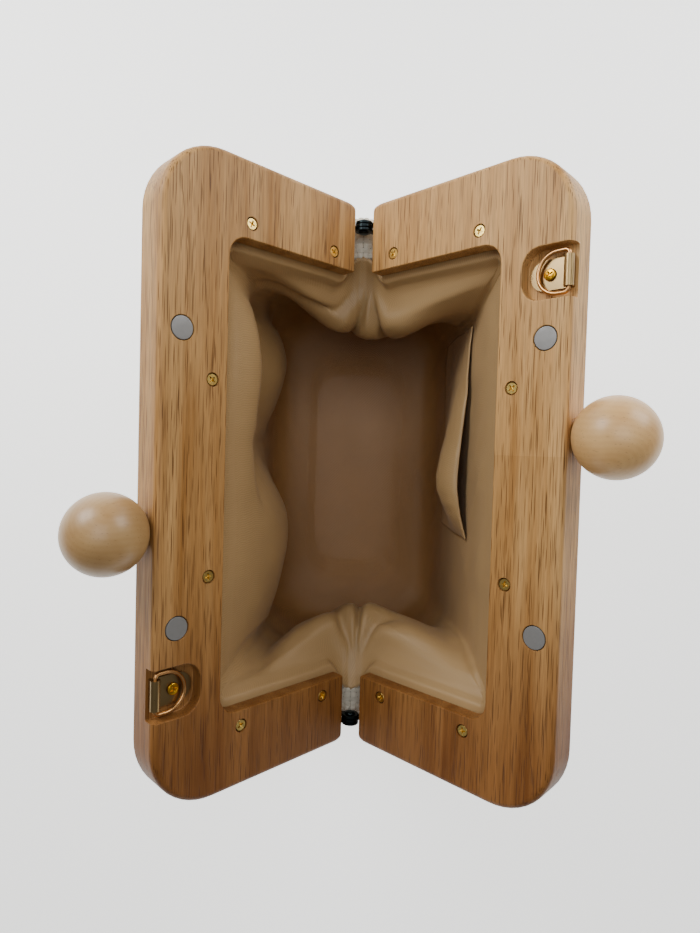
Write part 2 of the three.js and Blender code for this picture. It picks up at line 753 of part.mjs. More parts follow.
function liningRings() {
  const rings = LINING_MOUTH.map((row) =>
    COLUMNS.map((c) => {
      const p = mouthPoint(c.index, row);
      return new THREE.Vector3(c.x * p.x, c.y * p.y, p.z + HINGE_HEIGHT);
    }),
  );
  const top = rings[rings.length - 1];
  const floor = STRAW_WALL + CLOTH_GAP + LINING_WALL / 2 + 0.2;
  for (const row of sized(LINING_SECTIONS)) {
    rings.push(
      COLUMNS.map((c, j) => {
        const z = top[j].z * (1 - row.drop) + floor * row.drop;
        const [x, y] = sectionPoint(c.index, row.width, row.length, row.corner, LINING_END_REACH);
        const p = new THREE.Vector3(c.x * x, c.y * y, z);
        for (const fold of LINING_FOLDS) {
          const alongX = fold.side[1] === "y";
          const sign = fold.side[0] === "+" ? 1 : -1;
          if (Math.sign(alongX ? c.y : c.x) !== sign) {
            continue;
          }
          const facing = alongX ? endShare(c.index) : 1 - endShare(c.index);
          const place = alongX ? p.x : p.y;
          const length = alongX ? FRAME_HALF_WIDTH : HALF_LENGTH;
          const across = bump(place / length - fold.middle, fold.spread);
          const amount =
            fold.inward * FRAME_HALF_WIDTH * across * bump(row.drop - fold.level, fold.band) * facing;
          if (alongX) {
            p.y -= sign * amount;
          } else {
            p.x -= sign * amount;
          }
        }
        return p;
      }),
    );
  }
  const rim = rings[rings.length - 1];
  for (const share of BASE_RINGS) {
    rings.push(rim.map((p) => new THREE.Vector3(p.x * share, p.y * share, floor)));
  }
  return rings;
}

// Outward normal and mitre of a middle-surface grid, rings running down and columns anticlockwise.
function normalsOf(rings, closed) {
  const rows = rings.length;
  const count = rings[0].length;
  return rings.map((ring, k) =>
    ring.map((p, j) => {
      const next = closed ? ring[(j + 1) % count] : ring[Math.min(j + 1, count - 1)];
      const prev = closed ? ring[(j + count - 1) % count] : ring[Math.max(j - 1, 0)];
      const below = rings[Math.min(k + 1, rows - 1)][j];
      const above = rings[Math.max(k - 1, 0)][j];
      const down = below.clone().sub(above);
      const round = next.clone().sub(prev);
      const normal = down.cross(round).normalize();
      if (k > 0 && k < rows - 1) {
        const a = p.clone().sub(above).normalize();
        const b = below.clone().sub(p).normalize();
        const half = Math.sqrt(Math.max(0, (1 + a.dot(b)) / 2));
        normal.multiplyScalar(Math.min(1.35, 1 / Math.max(half, 0.1)));
      }
      return normal;
    }),
  );
}

// A cup-shaped cloth of even thickness round a grid of rings, closed at the bottom.
function clothCup(rings, wall) {
  const count = rings[0].length;
  const rows = rings.length;
  const normals = normalsOf(rings, true);
  const under = rings[rows - 1][0].z - wall / 2;
  for (let k = rows - BASE_RINGS.length; k < rows; k += 1) {
    normals[k] = normals[k].map(() => new THREE.Vector3(0, 0, -1));
  }
  const points = [];
  const index = [];
  for (const side of [1, -1]) {
    for (let k = 0; k < rows; k += 1) {
      for (let j = 0; j < count; j += 1) {
        const p = rings[k][j].clone().addScaledVector(normals[k][j], (side * wall) / 2);
        points.push(p.x, p.y, Math.max(p.z, under));
      }
    }
    const z = rings[rows - 1][0].z - (side * wall) / 2;
    points.push(0, 0, z);
  }
  const sheet = rows * count + 1;
  const quad = (a, b, c, d) => index.push(a, b, c, a, c, d);
  for (let j = 0; j < count; j += 1) {
    const n = (j + 1) % count;
    for (let k = 0; k + 1 < rows; k += 1) {
      quad(k * count + j, (k + 1) * count + j, (k + 1) * count + n, k * count + n);
      const inner = sheet + k * count;
      quad(inner + j, inner + n, inner + count + n, inner + count + j);
    }
    const low = (rows - 1) * count;
    index.push(low + j, sheet - 1, low + n);
    index.push(sheet + low + j, sheet + low + n, 2 * sheet - 1);
    quad(j, n, sheet + n, sheet + j);
  }
  const geometry = new THREE.BufferGeometry();
  geometry.setAttribute("position", new THREE.Float32BufferAttribute(points, 3));
  geometry.setIndex(index);
  return geometry;
}

// An open panel of even thickness round a grid of rows.
function clothPanel(rows, normals, wall) {
  const count = rows[0].length;
  const points = [];
  const index = [];
  for (const side of [1, -1]) {
    rows.forEach((row, k) => {
      row.forEach((p, j) => {
        const q = p.clone().addScaledVector(normals[k][j], (side * wall) / 2);
        points.push(q.x, q.y, q.z);
      });
    });
  }
  const sheet = rows.length * count;
  const quad = (a, b, c, d) => index.push(a, b, c, a, c, d);
  for (let k = 0; k + 1 < rows.length; k += 1) {
    for (let j = 0; j + 1 < count; j += 1) {
      const a = k * count + j;
      quad(a, a + count, a + count + 1, a + 1);
      quad(sheet + a, sheet + a + 1, sheet + a + count + 1, sheet + a + count);
    }
  }
  const low = (rows.length - 1) * count;
  for (let j = 0; j + 1 < count; j += 1) {
    quad(j, j + 1, sheet + j + 1, sheet + j);
    quad(low + j + 1, low + j, sheet + low + j, sheet + low + j + 1);
  }
  for (let k = 0; k + 1 < rows.length; k += 1) {
    const a = k * count;
    const b = a + count - 1;
    quad(a + count, a, sheet + a, sheet + a + count);
    quad(b, b + count, sheet + b + count, sheet + b);
  }
  const geometry = new THREE.BufferGeometry();
  geometry.setAttribute("position", new THREE.Float32BufferAttribute(points, 3));
  geometry.setIndex(index);
  return geometry;
}

// Straw body with a hole in its flange for every clamp screw.
function strawBody() {
  const holes = [];
  for (const turn of [0, Math.PI]) {
    for (const [u, v] of screwPlaces) {
      const hole = new THREE.CylinderGeometry(SCREW_SHANK_R + CLOTH_GAP, SCREW_SHANK_R + CLOTH_GAP, 6, 8);
      hole.rotateX(Math.PI / 2);
      hole.translate(u, v, -MOUTH_DEPTH);
      hole.rotateY(-TURN);
      hole.translate(0, 0, HINGE_HEIGHT);
      hole.rotateZ(turn);
      holes.push(solid(hole));
    }
  }
  return geometryOf(solid(clothCup(strawRings(), STRAW_WALL)).subtract(join(holes)));
}

function liningPocket() {
  const rings = liningRings();
  const normals = normalsOf(rings, true);
  const count = COLUMNS.length;
  const stand = LINING_WALL + CLOTH_GAP;
  const rows = [];
  const sides = [];
  POCKET_ROWS.forEach((k, r) => {
    const row = [];
    const side = [];
    POCKET_SHARES.forEach((share, i) => {
      const j = (POCKET_FIRST + i + count) % count;
      const normal = normals[k][j].clone().normalize();
      row.push(rings[k][j].clone().addScaledVector(normal, -stand - share * POCKET_GAPE * POCKET_OPEN[r]));
      side.push(normal);
    });
    rows.push(row);
    sides.push(side);
  });
  return clothPanel(rows, sides, LINING_WALL);
}

// Assembly.

const COLOURS = {
  wood: [0xc39763, 0.55, 0],
  ball: [0xc9a176, 0.5, 0],
  brass: [0xc9a446, 0.3, 1],
  ring: [0xe0cfa0, 0.22, 1],
  magnet: [0x8d8f90, 0.35, 1],
  hinge: [0x1c1c1c, 0.45, 0.8],
  straw: [0xe6dfcc, 0.85, 0],
  lining: [0x8f7350, 0.75, 0],
};

const group = new THREE.Group();
group.name = "straw_handbag";

function add(parent, name, geometry, colour) {
  const [color, roughness, metalness] = COLOURS[colour];
  const mesh = new THREE.Mesh(geometry, new THREE.MeshStandardMaterial({ color, roughness, metalness }));
  mesh.name = name;
  parent.add(mesh);
  return mesh;
}

const shapes = {
  frame: frameHalf(),
  ball: ballKnob(),
  screw: frameScrew(),
  magnet: magnet(),
  plate: ringPlate(),
  plateScrew: plateScrew(),
  wire: ringWire(),
  lug: hingeLug(),
  fork: hingeFork(),
  rivet: hingeRivet(),
};
const SCREW_NAMES = ["arm_outer", "arm_inner", "bar"];

for (const [side, turn] of [["right", 0], ["left", Math.PI]]) {
  const turned180 = turn > 0;
  const half = new THREE.Group();
  half.rotation.set(0, 0, turn);
  group.add(half);
  const board = new THREE.Group();
  board.position.set(0, 0, HINGE_HEIGHT);
  board.rotation.set(0, -TURN, 0);
  half.add(board);
  const end = (v) => ((v > 0) !== turned180 ? "upper" : "lower");

  add(board, `frame_${side}`, shapes.frame, "wood");
  add(board, `ball_${side}`, shapes.ball, "ball");
  screwPlaces.forEach(([u, v], i) => {
    add(board, `screw_${side}_${end(v)}_${SCREW_NAMES[i % 3]}`, shapes.screw, "brass").position.set(u, v, 0);
  });
  magnetPlaces.forEach(([u, v]) => {
    add(board, `magnet_${side}_${end(v)}`, shapes.magnet, "magnet").position.set(u, v, 0);
  });
  add(board, `dring_plate_${side}`, shapes.plate, "ring");
  add(board, `dring_screw_${side}`, shapes.plateScrew, "brass");
  add(board, `dring_${side}`, shapes.wire, "ring");
  add(board, `hinge_${end(1)}_fork`, shapes.fork, "hinge").position.set(0, HINGE_PLACE, 0);
  add(board, `hinge_${end(-1)}_lug`, shapes.lug, "hinge").position.set(0, -HINGE_PLACE, 0);
}
for (const [name, sign] of [["upper", 1], ["lower", -1]]) {
  add(group, `hinge_${name}_rivet`, shapes.rivet, "hinge").position.set(0, sign * HINGE_PLACE, HINGE_HEIGHT);
}
add(group, "straw_body", strawBody(), "straw");
add(group, "lining", clothCup(liningRings(), LINING_WALL), "lining");
add(group, "lining_pocket", liningPocket(), "lining");

export default group;
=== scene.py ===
import math

import bmesh
import bpy
import numpy as np
from bpy.props import FloatProperty, FloatVectorProperty, PointerProperty
from mathutils import Matrix, Vector


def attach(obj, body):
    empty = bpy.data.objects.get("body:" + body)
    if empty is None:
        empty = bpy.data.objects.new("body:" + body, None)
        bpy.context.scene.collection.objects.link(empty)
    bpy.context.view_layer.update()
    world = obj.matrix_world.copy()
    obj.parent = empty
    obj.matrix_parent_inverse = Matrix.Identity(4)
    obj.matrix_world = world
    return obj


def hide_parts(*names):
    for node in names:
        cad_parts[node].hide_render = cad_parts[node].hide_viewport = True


bl_info = {
    "name": "Straw Handbag",
    "version": (1, 0, 0),
    "blender": (4, 5, 0),
    "location": "3D View > Sidebar > Handbag",
    "description": "Wooden clasp frame, fittings, lining and straw of a handbag with an open mouth",
    "category": "Object",
}

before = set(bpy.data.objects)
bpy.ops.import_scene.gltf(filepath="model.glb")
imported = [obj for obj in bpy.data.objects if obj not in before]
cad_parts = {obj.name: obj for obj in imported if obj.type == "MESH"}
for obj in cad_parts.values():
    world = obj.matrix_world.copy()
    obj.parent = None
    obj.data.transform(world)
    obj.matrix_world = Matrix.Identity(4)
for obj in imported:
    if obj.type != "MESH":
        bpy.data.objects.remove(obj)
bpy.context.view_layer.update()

# Lengths are in mm unless a name says otherwise; the bag's own coordinates are in metres.
MM = 0.001

# The open frame: each half turns about the hinge line, which runs along Y.
HINGE_HEIGHT = 115.0
OPEN_ANGLE = math.radians(44.0)
COS = math.cos(OPEN_ANGLE)
SIN = math.sin(OPEN_ANGLE)

# Board coordinates: u out from the hinge line, v along Y, w up from the face that meets the other half.
HALF_LENGTH = 125.0
THICK = 17.0
ARM_END = 5.7
WINDOW_REACH = 72.0
WINDOW_HALF = 93.75
BOARD_REACH = 100.3
WINDOW_CORNER = 8.0
GROOVE_REACH = 10.2
GROOVE_TOP = 6.5
GROOVE_WIDTH = 4.2
SCREWS = (("arm_outer", 62.0, 100.15), ("arm_inner", 18.0, 100.15), ("bar", 78.4, 37.5))
MAGNET_U, MAGNET_V = 91.3, 55.0
BALL_U, BALL_V, BALL_W = 114.7, 19.3, -8.5
BALL_SEAT = 14.1
DOWEL_R = 3.0
RING_V = 78.9
RING_U, RING_W = 98.0, -2.85
RECESS_U, RECESS_HALF, RECESS_CORNER, RECESS_DEEP = 80.5, 10.25, 7.5, 5.7
HINGE_V = 115.6
TAIL_END, TAIL_LOW, TAIL_HIGH = 18.0, -7.5, -2.5
ARM_CORNER, BAR_CORNER = 9.0, 26.0
DOWEL_LONG = 12.0
MAGNET_R = 4.35
SHANK_HOLE = 1.45
SCREW_SINK = 0.35
PLATE_SCREW_U, PLATE_SCREW_W = 90.2, -4.2

# Turns that lay a solid's w axis along u and along v.
ALONG_U = Matrix.Rotation(math.pi / 2, 4, "Y")
ALONG_V = Matrix.Rotation(math.pi / 2, 4, "X")

# The wood past a glued joint in the bar has its own tone, partly real and partly painted light: on the right half the
# wood past the joint is painted lighter, and on the left half all of the wood has a painted darker tone.
JOINT = {"right": 12.0, "left": -200.0}
JOINT_TONE_AND_LIGHT = {"right": (1.1, 1.12, 1.14, 1), "left": (0.93, 0.93, 0.93, 1)}
# Where along Y the painted shade starts to darken the wood, and where it is darkest.
PAINTED_SHADE_FROM, PAINTED_SHADE_TO = -12.0, -118.0
# Width and length of a colour band and of a fibre; the same of a pore's cell, and how rare its dashes are.
BAND = (12.0, 210.0)
FIBRE = (0.9, 30.0)
PORES = ((0.62, 24.0, 0.2), (0.5, 13.0, 0.4))
# Painted light: how much lighter the right ball and how much darker the left ball are painted against the balls'
# colour.
BALL_PAINTED_LIGHT = {"right": 1.2, "left": 0.76}

# Cloth.
GAP = 0.3
STRAW_WALL = 2.2
LINING_WALL = 0.9


def linear(hex_code):
    """An sRGB hex colour as linear red, green, blue and alpha."""
    parts = [int(hex_code[i : i + 2], 16) / 255 for i in (0, 2, 4)]
    return tuple(c / 12.92 if c <= 0.04045 else ((c + 0.055) / 1.055) ** 2.4 for c in parts) + (1.0,)


def colour_property(name, description, hex_code):
    return FloatVectorProperty(
        name=name, description=description, default=linear(hex_code), size=4, min=0, max=1, subtype="COLOR"
    )


def length_property(name, description, millimetres):
    return FloatProperty(name=name, description=description, default=millimetres * MM, min=0, unit="LENGTH")


class WoodSettings(bpy.types.PropertyGroup):
    edge_round: length_property("Edge rounding", "Radius of the frame's outer edges", 2.6)
    ball_radius: length_property("Ball radius", "Radius of each clasp ball", 14.85)
    pale: colour_property("Pale wood", "Pale bands of the frame's wood", "CDA066")
    dark: colour_property("Dark wood", "Dark bands of the frame's wood", "9E6E38")
    # Painted shade: this tint darkens the frame's wood towards its lower end.
    lower: colour_property("Lower end stain", "Tint of the frame's wood towards its lower end", "B89F85")
    pore: colour_property("Pores", "Open pores that show as short dark dashes", "4A2A12")
    ball: colour_property("Ball wood", "Close-grained wood of the balls", "C39D68")


class MetalSettings(bpy.types.PropertyGroup):
    wire_radius: length_property("Ring wire radius", "Radius of the D-ring's wire", 0.75)
    ring_width: length_property("Ring width", "Width of the D-ring across its bar", 15.3)
    ring_height: length_property("Ring height", "Height of the D-ring from its bar to its bow", 11.8)
    brass: colour_property("Brass", "Yellow plated screws", "F2D27A")
    pale_gold: colour_property("Pale gold", "Plated D-rings", "D6A066")
    plate_gold: colour_property("Plate gold", "Duller plating of the plates under the D-rings", "A68B5F")
    deep_brass: colour_property("Deep brass", "Yellow screws of the D-ring plates", "DCA62A")
    magnet: colour_property("Magnet", "Nickel plated magnets", "8D8C8A")
    hinge: colour_property("Hinge", "Black plated hinge", "2A3234")


class ClothSettings(bpy.types.PropertyGroup):
    strand: length_property("Strand pitch", "Distance between neighbouring straw strands", 3.0)
    relief: length_property("Weave relief", "How far a strand rises over the one that it crosses", 0.55)
    twill: length_property("Twill pitch", "Distance between the lining's diagonal lines", 1.0)
    straw: colour_property("Straw", "Natural paper straw", "E2DCCB")
    # Painted shade: the gaps between the strands are painted in this darker colour.
    straw_gap_shade: colour_property("Straw shade", "Gaps between the strands", "A39376")
    lining: colour_property("Lining", "Satin twill of the lining", "AE8F63")
    # Painted shade: the lining's bottom is painted browner and darker with this colour.
    lining_floor_shade: colour_property("Lining floor", "Bottom of the lining, browned by use", "A97E4E")


class StageSettings(bpy.types.PropertyGroup):
    floor: colour_property("Floor", "Plain pale floor", "F4F4F2")
    key_watts: FloatProperty(name="Key light", description="Power of the large soft light", default=2.62, min=0)


class HandbagSettings(bpy.types.PropertyGroup):
    wood: PointerProperty(type=WoodSettings)
    metal: PointerProperty(type=MetalSettings)
    cloth: PointerProperty(type=ClothSettings)
    stage: PointerProperty(type=StageSettings)


def in_mm(length):
    return length / MM


def board_to_bag(side):
    """From board coordinates in mm to the bag's coordinates in metres."""
    turn = 0.0 if side == "right" else math.pi
    return (
        Matrix.Rotation(turn, 4, "Z")
        @ Matrix.Translation((0, 0, HINGE_HEIGHT * MM))
        @ Matrix.Rotation(-OPEN_ANGLE, 4, "Y")
        @ Matrix.Scale(MM, 4)
    )


def end_name(side, v):
    return "upper" if (v > 0) == (side == "right") else "lower"


# Materials.

# Node settings: one colour laid over another, colours multiplied, and a range with soft ends.
LAID = {"data_type": "RGBA"}
TINTED = {"data_type": "RGBA", "blend_type": "MULTIPLY"}
SMOOTH = {"interpolation_type": "SMOOTHSTEP"}


def fill(tree, made, inputs):
    """Sets a node's inputs to values, or links them to sockets."""
    for key, value in inputs.items():
        if isinstance(value, bpy.types.NodeSocket):
            tree.links.new(value, made.inputs[key])
        else:
            made.inputs[key].default_value = value


def node(tree, kind, inputs=None, **settings):
    """Adds a shader node with its settings and inputs, and returns its outputs."""
    made = tree.nodes.new("ShaderNode" + kind)
    for name, value in settings.items():
        setattr(made, name, value)
    fill(tree, made, inputs or {})
    return made.outputs


def start_material(name, finish):
    """A material and its shader, whose own sockets take the values in finish."""
    material = bpy.data.materials.new(name)
    material.use_nodes = True
    shader = material.node_tree.nodes["Principled BSDF"]
    fill(material.node_tree, shader, finish)
    return material, material.node_tree, shader


def in_board(tree, side):
    """The shaded point in board coordinates, so that a pattern follows the grain."""
    place, turn, scale = board_to_bag(side).inverted().decompose()
    point = node(tree, "TexCoord")["Object"]
    moves = {"Vector": point, "Location": place, "Rotation": turn.to_euler(), "Scale": scale}
    return node(tree, "Mapping", moves)[0]


def cells(wide, long):
    """The scale that makes a pattern's cells this wide and this long in mm, along the grain."""
    return (1 / wide, 1 / long, 1 / wide)


def rubberwood(name, side, wood):
    """Rubberwood board, sanded and satin lacquered: straight grain with short dark open pores."""
    finish = {"Roughness": 0.58, "IOR": 1.5, "Specular IOR Level": 0.2}
    material, tree, shader = start_material(name, finish)
    board = in_board(tree, side)
    # Colour bands that run the length of the board.
    shift = (3.1 if side == "left" else 0, 0, 0)
    broad = node(tree, "Mapping", {"Vector": board, "Scale": cells(*BAND), "Location": shift})[0]
    wavy = {"Vector": broad, "Scale": 1.0, "Detail": 4.0, "Roughness": 0.6, "Distortion": 0.8}
    bands = node(tree, "TexNoise", wavy)["Fac"]
    band_share = node(tree, "MapRange", {"Value": bands, "From Min": 0.3, "From Max": 0.7})[0]
    tone = node(tree, "Mix", {0: band_share, 6: wood.dark, 7: wood.pale}, **LAID)[2]
    # The bar is jointed, and the wood is painted darker towards its lower end as painted shade.
    place = node(tree, "SeparateXYZ", {"Vector": board})[1]
    turned_round = 1.0 if side == "right" else -1.0
    along = node(tree, "Math", {0: place, 1: turned_round}, operation="MULTIPLY")[0]
    # Painted shade: darker towards the lower end, where less light falls.
    painted_shade = {"Value": along, "From Min": PAINTED_SHADE_FROM, "From Max": PAINTED_SHADE_TO}
    lower = node(tree, "MapRange", painted_shade, **SMOOTH)[0]
    shaded_low = node(tree, "Mix", {0: lower, 6: tone, 7: wood.lower}, **TINTED)[2]
    # Painted light: past the joint the right half is painted lighter, and all of the left half is painted darker.
    joint = node(tree, "Math", {0: along, 1: JOINT[side]}, operation="GREATER_THAN")[0]
    jointed_and_lit = node(tree, "Mix", {0: joint, 6: shaded_low, 7: JOINT_TONE_AND_LIGHT[side]}, **TINTED)[2]
    # Fibre streaks.
    fine = node(tree, "Mapping", {"Vector": board, "Scale": cells(*FIBRE)})[0]
    streaky = {"Vector": fine, "Scale": 1.0, "Detail": 4.0, "Roughness": 0.7}
    fibres = node(tree, "TexNoise", streaky)["Fac"]
    shades = {"Value": fibres, "From Min": 0.3, "From Max": 0.7, "To Min": 0.74, "To Max": 1.16}
    fibre_share = node(tree, "MapRange", shades)[0]
    fibred = node(tree, "Mix", {0: 1.0, 6: jointed_and_lit, 7: fibre_share}, **TINTED)[2]
    # Pores: long thin cells, of which some hold a dash 3 to 8 mm long. The dashes are drawn 0.3 mm wide to show.
    pore_share = 0.0
    for wide, long, least in PORES:
        thin = node(tree, "Mapping", {"Vector": board, "Scale": cells(wide, long)})[0]
        pores = node(tree, "TexVoronoi", {"Vector": thin, "Scale": 1.0, "Randomness": 1.0}, feature="F1")
        dash = node(tree, "MapRange", {"Value": pores["Distance"], "From Min": 0.38, "From Max": 0.24})[0]
        chance = node(tree, "SeparateColor", {"Color": pores["Color"]})[0]
        kept = node(tree, "MapRange", {"Value": chance, "From Min": least, "From Max": 0.85})[0]
        here = node(tree, "Math", {0: dash, 1: kept}, operation="MULTIPLY")[0]
        pore_share = node(tree, "Math", {0: pore_share, 1: here}, operation="MAXIMUM")[0]
    drawn = node(tree, "Math", {0: pore_share, 1: 0.8}, operation="MULTIPLY")[0]
    colour = node(tree, "Mix", {0: drawn, 6: fibred, 7: wood.pore}, **LAID)[2]
    rough = node(tree, "MapRange", {"Value": fibres, "To Min": 0.38, "To Max": 0.56})[0]
    hollow = node(tree, "Math", {0: fibres, 1: pore_share}, operation="SUBTRACT")[0]
    bump = node(tree, "Bump", {"Height": hollow, "Strength": 0.35, "Distance": 0.00012})[0]
    fill(tree, shader, {"Base Color": colour, "Roughness": rough, "Normal": bump})
    return material


def ball_wood(name, side, wood):
    """Turned ball of a close-grained pale hardwood, satin lacquered: faint growth rings and small specks."""
    finish = {"Roughness": 0.42, "IOR": 1.5, "Coat Weight": 0.2, "Coat Roughness": 0.25}
    material, tree, shader = start_material(name, finish)
    board = in_board(tree, side)
    # Growth rings about 2 mm apart, and clouds about 9 mm wide.
    core = {"Vector": board, "Location": (-BALL_U, -BALL_V, 30), "Rotation": (0.15, 0.3, 0.1)}
    tilted = node(tree, "Mapping", core)[0]
    wave = {"Vector": tilted, "Scale": 0.16, "Distortion": 2.2, "Detail": 2.5, "Detail Scale": 0.06}
    rings = node(tree, "TexWave", wave, wave_type="RINGS", rings_direction="X")["Fac"]
    cloudy = node(tree, "TexNoise", {"Vector": board, "Scale": 0.11, "Detail": 4.0})["Fac"]
    summed = node(tree, "Math", {0: rings, 1: 0.1, 2: cloudy}, operation="MULTIPLY_ADD")[0]
    share = node(tree, "MapRange", {"Value": summed, "From Min": 0.3, "From Max": 0.85})[0]
    # Painted light: the right ball is painted lighter and the left ball darker.
    pale = [c * BALL_PAINTED_LIGHT[side] for c in wood.ball[:3]] + [1.0]
    deep = [c * f for c, f in zip(pale, (0.8, 0.72, 0.62, 1.0))]
    tone = node(tree, "Mix", {0: share, 6: pale, 7: deep}, **LAID)[2]
    # Specks 4.5 mm long and under 1 mm wide.
    specks = node(tree, "Mapping", {"Vector": board, "Scale": (1 / 4.5, 1 / 0.8, 1 / 0.8)})[0]
    dots = node(tree, "TexVoronoi", {"Vector": specks, "Scale": 1.0}, feature="F1")["Distance"]
    speck_share = node(tree, "MapRange", {"Value": dots, "From Min": 0.22, "From Max": 0.08, "To Max": 0.35})[0]
    colour = node(tree, "Mix", {0: speck_share, 6: tone, 7: wood.pore}, **LAID)[2]
    bump = node(tree, "Bump", {"Height": cloudy, "Strength": 0.2, "Distance": 0.0002})[0]
    fill(tree, shader, {"Base Color": colour, "Normal": bump})
    return material


def plated_metal(name, colour, roughness, grain, metallic=1.0):
    """Plated metal with the faint unevenness of tumbled stamped parts."""
    material, tree, shader = start_material(name, {"Metallic": metallic, "Roughness": roughness})
    point = node(tree, "TexCoord")["Object"]
    uneven = node(tree, "TexNoise", {"Vector": point, "Scale": grain, "Detail": 4.0})["Fac"]
    darker = [c * 0.8 for c in colour[:3]] + [1.0]
    tone = node(tree, "Mix", {0: uneven, 6: colour, 7: darker}, **LAID)[2]
    worn = {"Value": uneven, "To Min": roughness * 0.7, "To Max": roughness * 1.4}
    rough = node(tree, "MapRange", worn)[0]
    fill(tree, shader, {"Base Color": tone, "Roughness": rough})
    return material


def satin_twill(name, cloth):
    """Polyester satin twill: soft broad highlights and fine diagonal lines, drawn 1 mm apart to show."""
    finish = {"Roughness": 0.43, "Sheen Weight": 0.06, "Sheen Roughness": 0.4, "Specular IOR Level": 0.5}
    material, tree, shader = start_material(name, finish)
    flat = node(tree, "UVMap", uv_map="cloth_mm")[0]
    parts = node(tree, "SeparateXYZ", {"Vector": flat})
    waves = []
    for slope in (0.6, -0.9):
        leaning = node(tree, "Math", {0: parts[1], 1: slope, 2: parts[0]}, operation="MULTIPLY_ADD")[0]
        turns = node(tree, "Math", {0: leaning, 1: 2 * math.pi / in_mm(cloth.twill)}, operation="MULTIPLY")[0]
        waves.append(node(tree, "Math", {0: turns}, operation="SINE")[0])
    weave = node(tree, "Math", {0: waves[1], 1: 0.6, 2: waves[0]}, operation="MULTIPLY_ADD")[0]
    drawn = {"Value": weave, "From Min": -1.4, "From Max": 1.4, "To Min": 0.88, "To Max": 1.08}
    weave_share = node(tree, "MapRange", drawn)[0]
    # Broad uneven patches about 30 mm wide.
    cloudy = node(tree, "TexNoise", {"Vector": flat, "Scale": 0.035, "Detail": 3.0})["Fac"]
    cloud_share = node(tree, "MapRange", {"Value": cloudy, "To Min": 0.9, "To Max": 1.1})[0]
    both = node(tree, "Math", {0: weave_share, 1: cloud_share}, operation="MULTIPLY")[0]
    # Painted shade: the bottom of the lining is painted browner and darker than its walls.
    height = node(tree, "SeparateXYZ", {"Vector": node(tree, "TexCoord")["Object"]})[2]
    low = {"Value": height, "From Min": 0.004, "From Max": 0.05, "To Min": 1.0, "To Max": 0.0}
    depth_shade_share = node(tree, "MapRange", low)[0]
    shaded_ground = node(tree, "Mix", {0: depth_shade_share, 6: cloth.lining, 7: cloth.lining_floor_shade}, **LAID)[2]
    colour = node(tree, "Mix", {0: 1.0, 6: shaded_ground, 7: both}, **TINTED)[2]
    bump = node(tree, "Bump", {"Height": weave, "Strength": 0.25, "Distance": 0.00012})[0]
    fill(tree, shader, {"Base Color": colour, "Normal": bump})
    return material


def paper_straw(name, cloth):
    """Woven paper straw: matt flat strands over and under each other, with painted shade in the gaps and holes between
    strands, and fibre streaks.
    """
    material, tree, shader = start_material(name, {"Roughness": 0.78, "Specular IOR Level": 0.3})
    strands = node(tree, "UVMap", uv_map="strands")[0]
    parts = node(tree, "SeparateXYZ", {"Vector": strands})
    # For the strands of each direction: the distance from the middle, the strand's number and its fibre streaks.
    places, wholes, streaks = [], [], []
    for axis, stretch in ((0, (14.0, 1.1, 1.0)), (1, (1.1, 14.0, 1.0))):
        fraction = node(tree, "Math", {0: parts[axis]}, operation="FRACT")[0]
        centred = node(tree, "Math", {0: fraction, 1: 0.5}, operation="SUBTRACT")[0]
        places.append(node(tree, "Math", {0: centred}, operation="ABSOLUTE")[0])
        wholes.append(node(tree, "Math", {0: parts[axis]}, operation="FLOOR")[0])
        long = node(tree, "Mapping", {"Vector": strands, "Scale": stretch})[0]
        streaks.append(node(tree, "TexNoise", {"Vector": long, "Scale": 1.0, "Detail": 2.0})["Fac"])
    counted = node(tree, "Math", {0: wholes[0], 1: wholes[1]}, operation="ADD")[0]
    parity = node(tree, "Math", {0: counted, 1: 2.0}, operation="FLOORED_MODULO")[0]
    side_place, number, streak = (
        node(tree, "Mix", {0: parity, 2: pair[0], 3: pair[1]})[0] for pair in (places, wholes, streaks)
    )
    # Painted shade: the gaps between strands are painted darker, and the holes at the cell corners nearly black.
    edge = {"Value": side_place, "From Min": 0.44, "From Max": 0.5, "To Max": 0.55}
    gap_shade_share = node(tree, "MapRange", edge, **SMOOTH)[0]
    corner = node(tree, "Math", {0: places[0], 1: places[1]}, operation="MULTIPLY")[0]
    hole_shade_share = node(tree, "MapRange", {"Value": corner, "From Min": 0.19, "From Max": 0.235}, **SMOOTH)[0]
    tint = node(tree, "TexWhiteNoise", {"W": number}, noise_dimensions="1D")["Value"]
    tint_share = node(tree, "MapRange", {"Value": tint, "To Min": 0.86, "To Max": 1.04})[0]
    fibrous = {"Value": streak, "From Min": 0.3, "From Max": 0.7, "To Min": 0.84, "To Max": 1.06}
    streak_share = node(tree, "MapRange", fibrous)[0]
    light = node(tree, "Math", {0: tint_share, 1: streak_share}, operation="MULTIPLY")[0]
    strand = node(tree, "Mix", {0: 1.0, 6: cloth.straw, 7: light}, **TINTED)[2]
    deep = [c * 0.25 for c in cloth.straw_gap_shade[:3]] + [1.0]
    gap_shaded = node(tree, "Mix", {0: gap_shade_share, 6: strand, 7: cloth.straw_gap_shade}, **LAID)[2]
    colour = node(tree, "Mix", {0: hole_shade_share, 6: gap_shaded, 7: deep}, **LAID)[2]
    low = node(tree, "Math", {0: gap_shade_share, 1: -1.0, 2: streak_share}, operation="MULTIPLY_ADD")[0]
    bump = node(tree, "Bump", {"Height": low, "Strength": 0.5, "Distance": 0.0004})[0]
    fill(tree, shader, {"Base Color": colour, "Normal": bump})
    return material


# Making rigid pieces.


